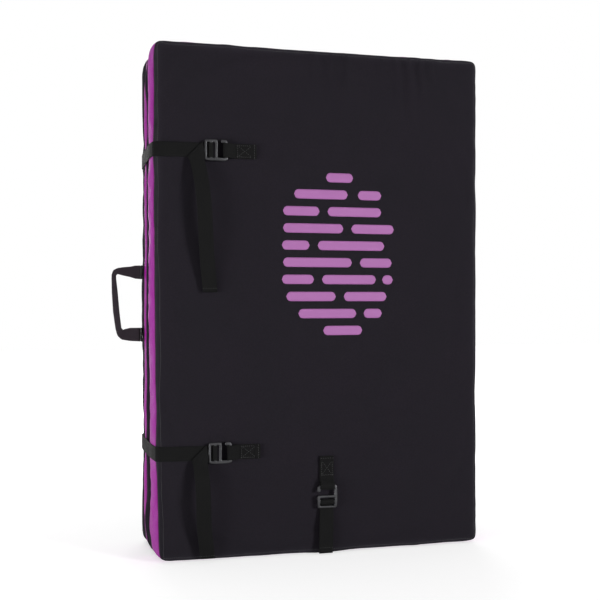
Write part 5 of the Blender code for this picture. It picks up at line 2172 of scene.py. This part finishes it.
# Name, place, target, width, height and power in watts
LAMPS = (
    ("key_softbox", (-2.6, -1.0, 0.25), (0, 0, 0.25), 1.5, 0.6, 50),
    ("front_softbox", (3.6, -4.0, 0.9), (0, 0, 0.40), 1.2, 1.0, 238),
    ("low_left_softbox", (-1.2, -0.9, 0.25), (-0.1, 0, 0.2), 0.5, 0.4, 3),
    ("right_softbox", (2.8, -0.6, 1.6), (0, 0, 0.45), 1.4, 2.0, 5),
    ("top_softbox", (0, 0.2, 3.0), (0, 0, 0.4), 2.2, 2.2, 12),
    ("rear_softbox", (0.4, 3.2, 0.9), (0, 0, 0.45), 2.4, 1.6, 60),
)


def seen_share(tree):
    """1 for the rays that show the surroundings as they are: the camera's, mirrored and through glass."""
    rays = add_node(tree, "ShaderNodeLightPath").outputs
    share = rays["Is Camera Ray"]
    for kind in ("Is Glossy Ray", "Is Transmission Ray"):
        either = add_node(tree, "ShaderNodeMath", {0: share, 1: rays[kind]}, operation="MAXIMUM")
        share = either.outputs[0]
    return share


@once
def studio_floor():
    """Pale floor: it keeps the pad's shadow and goes to white for the camera."""
    finish = Finish("studio_floor", colours().floor, 0.9, specular_ior_level=0.1)
    seen = seen_share(finish.tree)
    finish.set("Emission Color", (1, 1, 1, 1))
    place = finish.add("ShaderNodeTexCoord").outputs["Object"]
    away = finish.add("ShaderNodeVectorMath", {0: place}, operation="LENGTH").outputs["Value"]
    fade = {0: away, 1: FLOOR_FADE[0], 2: FLOOR_FADE[1], 3: FLOOR_GLOW, 4: 1.0}
    share = finish.add("ShaderNodeMapRange", fade).outputs[0]
    finish.set("Emission Strength", finish.times(seen, share))
    finish.bump(finish.cloud(30, 3.0), 0.0001, 0.1)
    return finish.material


def add_lamp(name, place, target, across, up, power):
    lamp = bpy.data.lights.new(name, "AREA")
    lamp.shape = "RECTANGLE"
    lamp.size, lamp.size_y = across, up
    lamp.energy = power
    thing = bpy.data.objects.new(name, lamp)
    bpy.context.scene.collection.objects.link(thing)
    thing.location = place
    thing.rotation_euler = (Vector(target) - Vector(place)).to_track_quat("-Z", "Y").to_euler()


class CRASHPAD_OT_stage(bpy.types.Operator):
    """Floor, lamps, white surroundings and the camera at the photograph's angle"""

    bl_idname = "crash_pad.stage"
    bl_label = "Studio"

    def execute(self, context):
        scene = context.scene
        half = FLOOR_SIZE / 2
        points = [(-half, -half, 0), (half, -half, 0), (half, half, 0), (-half, half, 0)]
        mesh = bpy.data.meshes.new("studio_floor")
        mesh.from_pydata(points, [], [(0, 1, 2, 3)])
        mesh.materials.append(studio_floor())
        made("studio_floor", mesh)
        for lamp in LAMPS:
            add_lamp(*lamp)
        world = bpy.data.worlds.new("studio")
        world.use_nodes = True
        scene.world = world
        tree = world.node_tree
        sky = tree.nodes["Background"].inputs
        sky["Color"].default_value = (1, 1, 1, 1)
        shares = {"Value": seen_share(tree), "To Min": AMBIENT, "To Max": 1.0}
        strength = add_node(tree, "ShaderNodeMapRange", shares).outputs["Result"]
        feed(tree, sky["Strength"], strength)
        camera = bpy.data.cameras.new("camera")
        camera.lens = LENS
        eye = bpy.data.objects.new("camera", camera)
        scene.collection.objects.link(eye)
        eye.location = CAMERA_PLACE
        eye.rotation_euler = (math.radians(90), 0, math.radians(-CAMERA_YAW))
        scene.camera = eye
        scene.view_settings.view_transform = "Standard"
        return {"FINISHED"}


OPERATORS = (
    CRASHPAD_OT_covers,
    CRASHPAD_OT_foams,
    CRASHPAD_OT_hinge_cloth,
    CRASHPAD_OT_face_print,
    CRASHPAD_OT_closure_straps,
    CRASHPAD_OT_closure_tabs,
    CRASHPAD_OT_hook_buckles,
    CRASHPAD_OT_handle,
    CRASHPAD_OT_shoulder_straps,
    CRASHPAD_OT_ladder_locks,
    CRASHPAD_OT_waist_belt,
    CRASHPAD_OT_zips,
    CRASHPAD_OT_stitches,
    CRASHPAD_OT_stage,
)


class CRASHPAD_PT_panel(bpy.types.Panel):
    """The pad's pieces, sizes and colours"""

    bl_label = "Crash Pad"
    bl_idname = "CRASHPAD_PT_panel"
    bl_space_type = "VIEW_3D"
    bl_region_type = "UI"
    bl_category = "Crash Pad"

    def draw(self, context):
        layout = self.layout
        for group in (context.scene.pad_sizes, context.scene.pad_colours):
            box = layout.box()
            for name in group.__annotations__:
                box.prop(group, name)
        for operator in OPERATORS:
            layout.operator(operator.bl_idname)


CLASSES = (PadSizes, PadColours, *OPERATORS, CRASHPAD_PT_panel)


def register():
    for each in CLASSES:
        bpy.utils.register_class(each)
    bpy.types.Scene.pad_sizes = bpy.props.PointerProperty(type=PadSizes)
    bpy.types.Scene.pad_colours = bpy.props.PointerProperty(type=PadColours)


def unregister():
    del bpy.types.Scene.pad_colours
    del bpy.types.Scene.pad_sizes
    for each in reversed(CLASSES):
        bpy.utils.unregister_class(each)


def main():
    register()
    for operator in OPERATORS:
        group, name = operator.bl_idname.split(".")
        getattr(getattr(bpy.ops, group), name)()


if __name__ == "__main__":
    main()
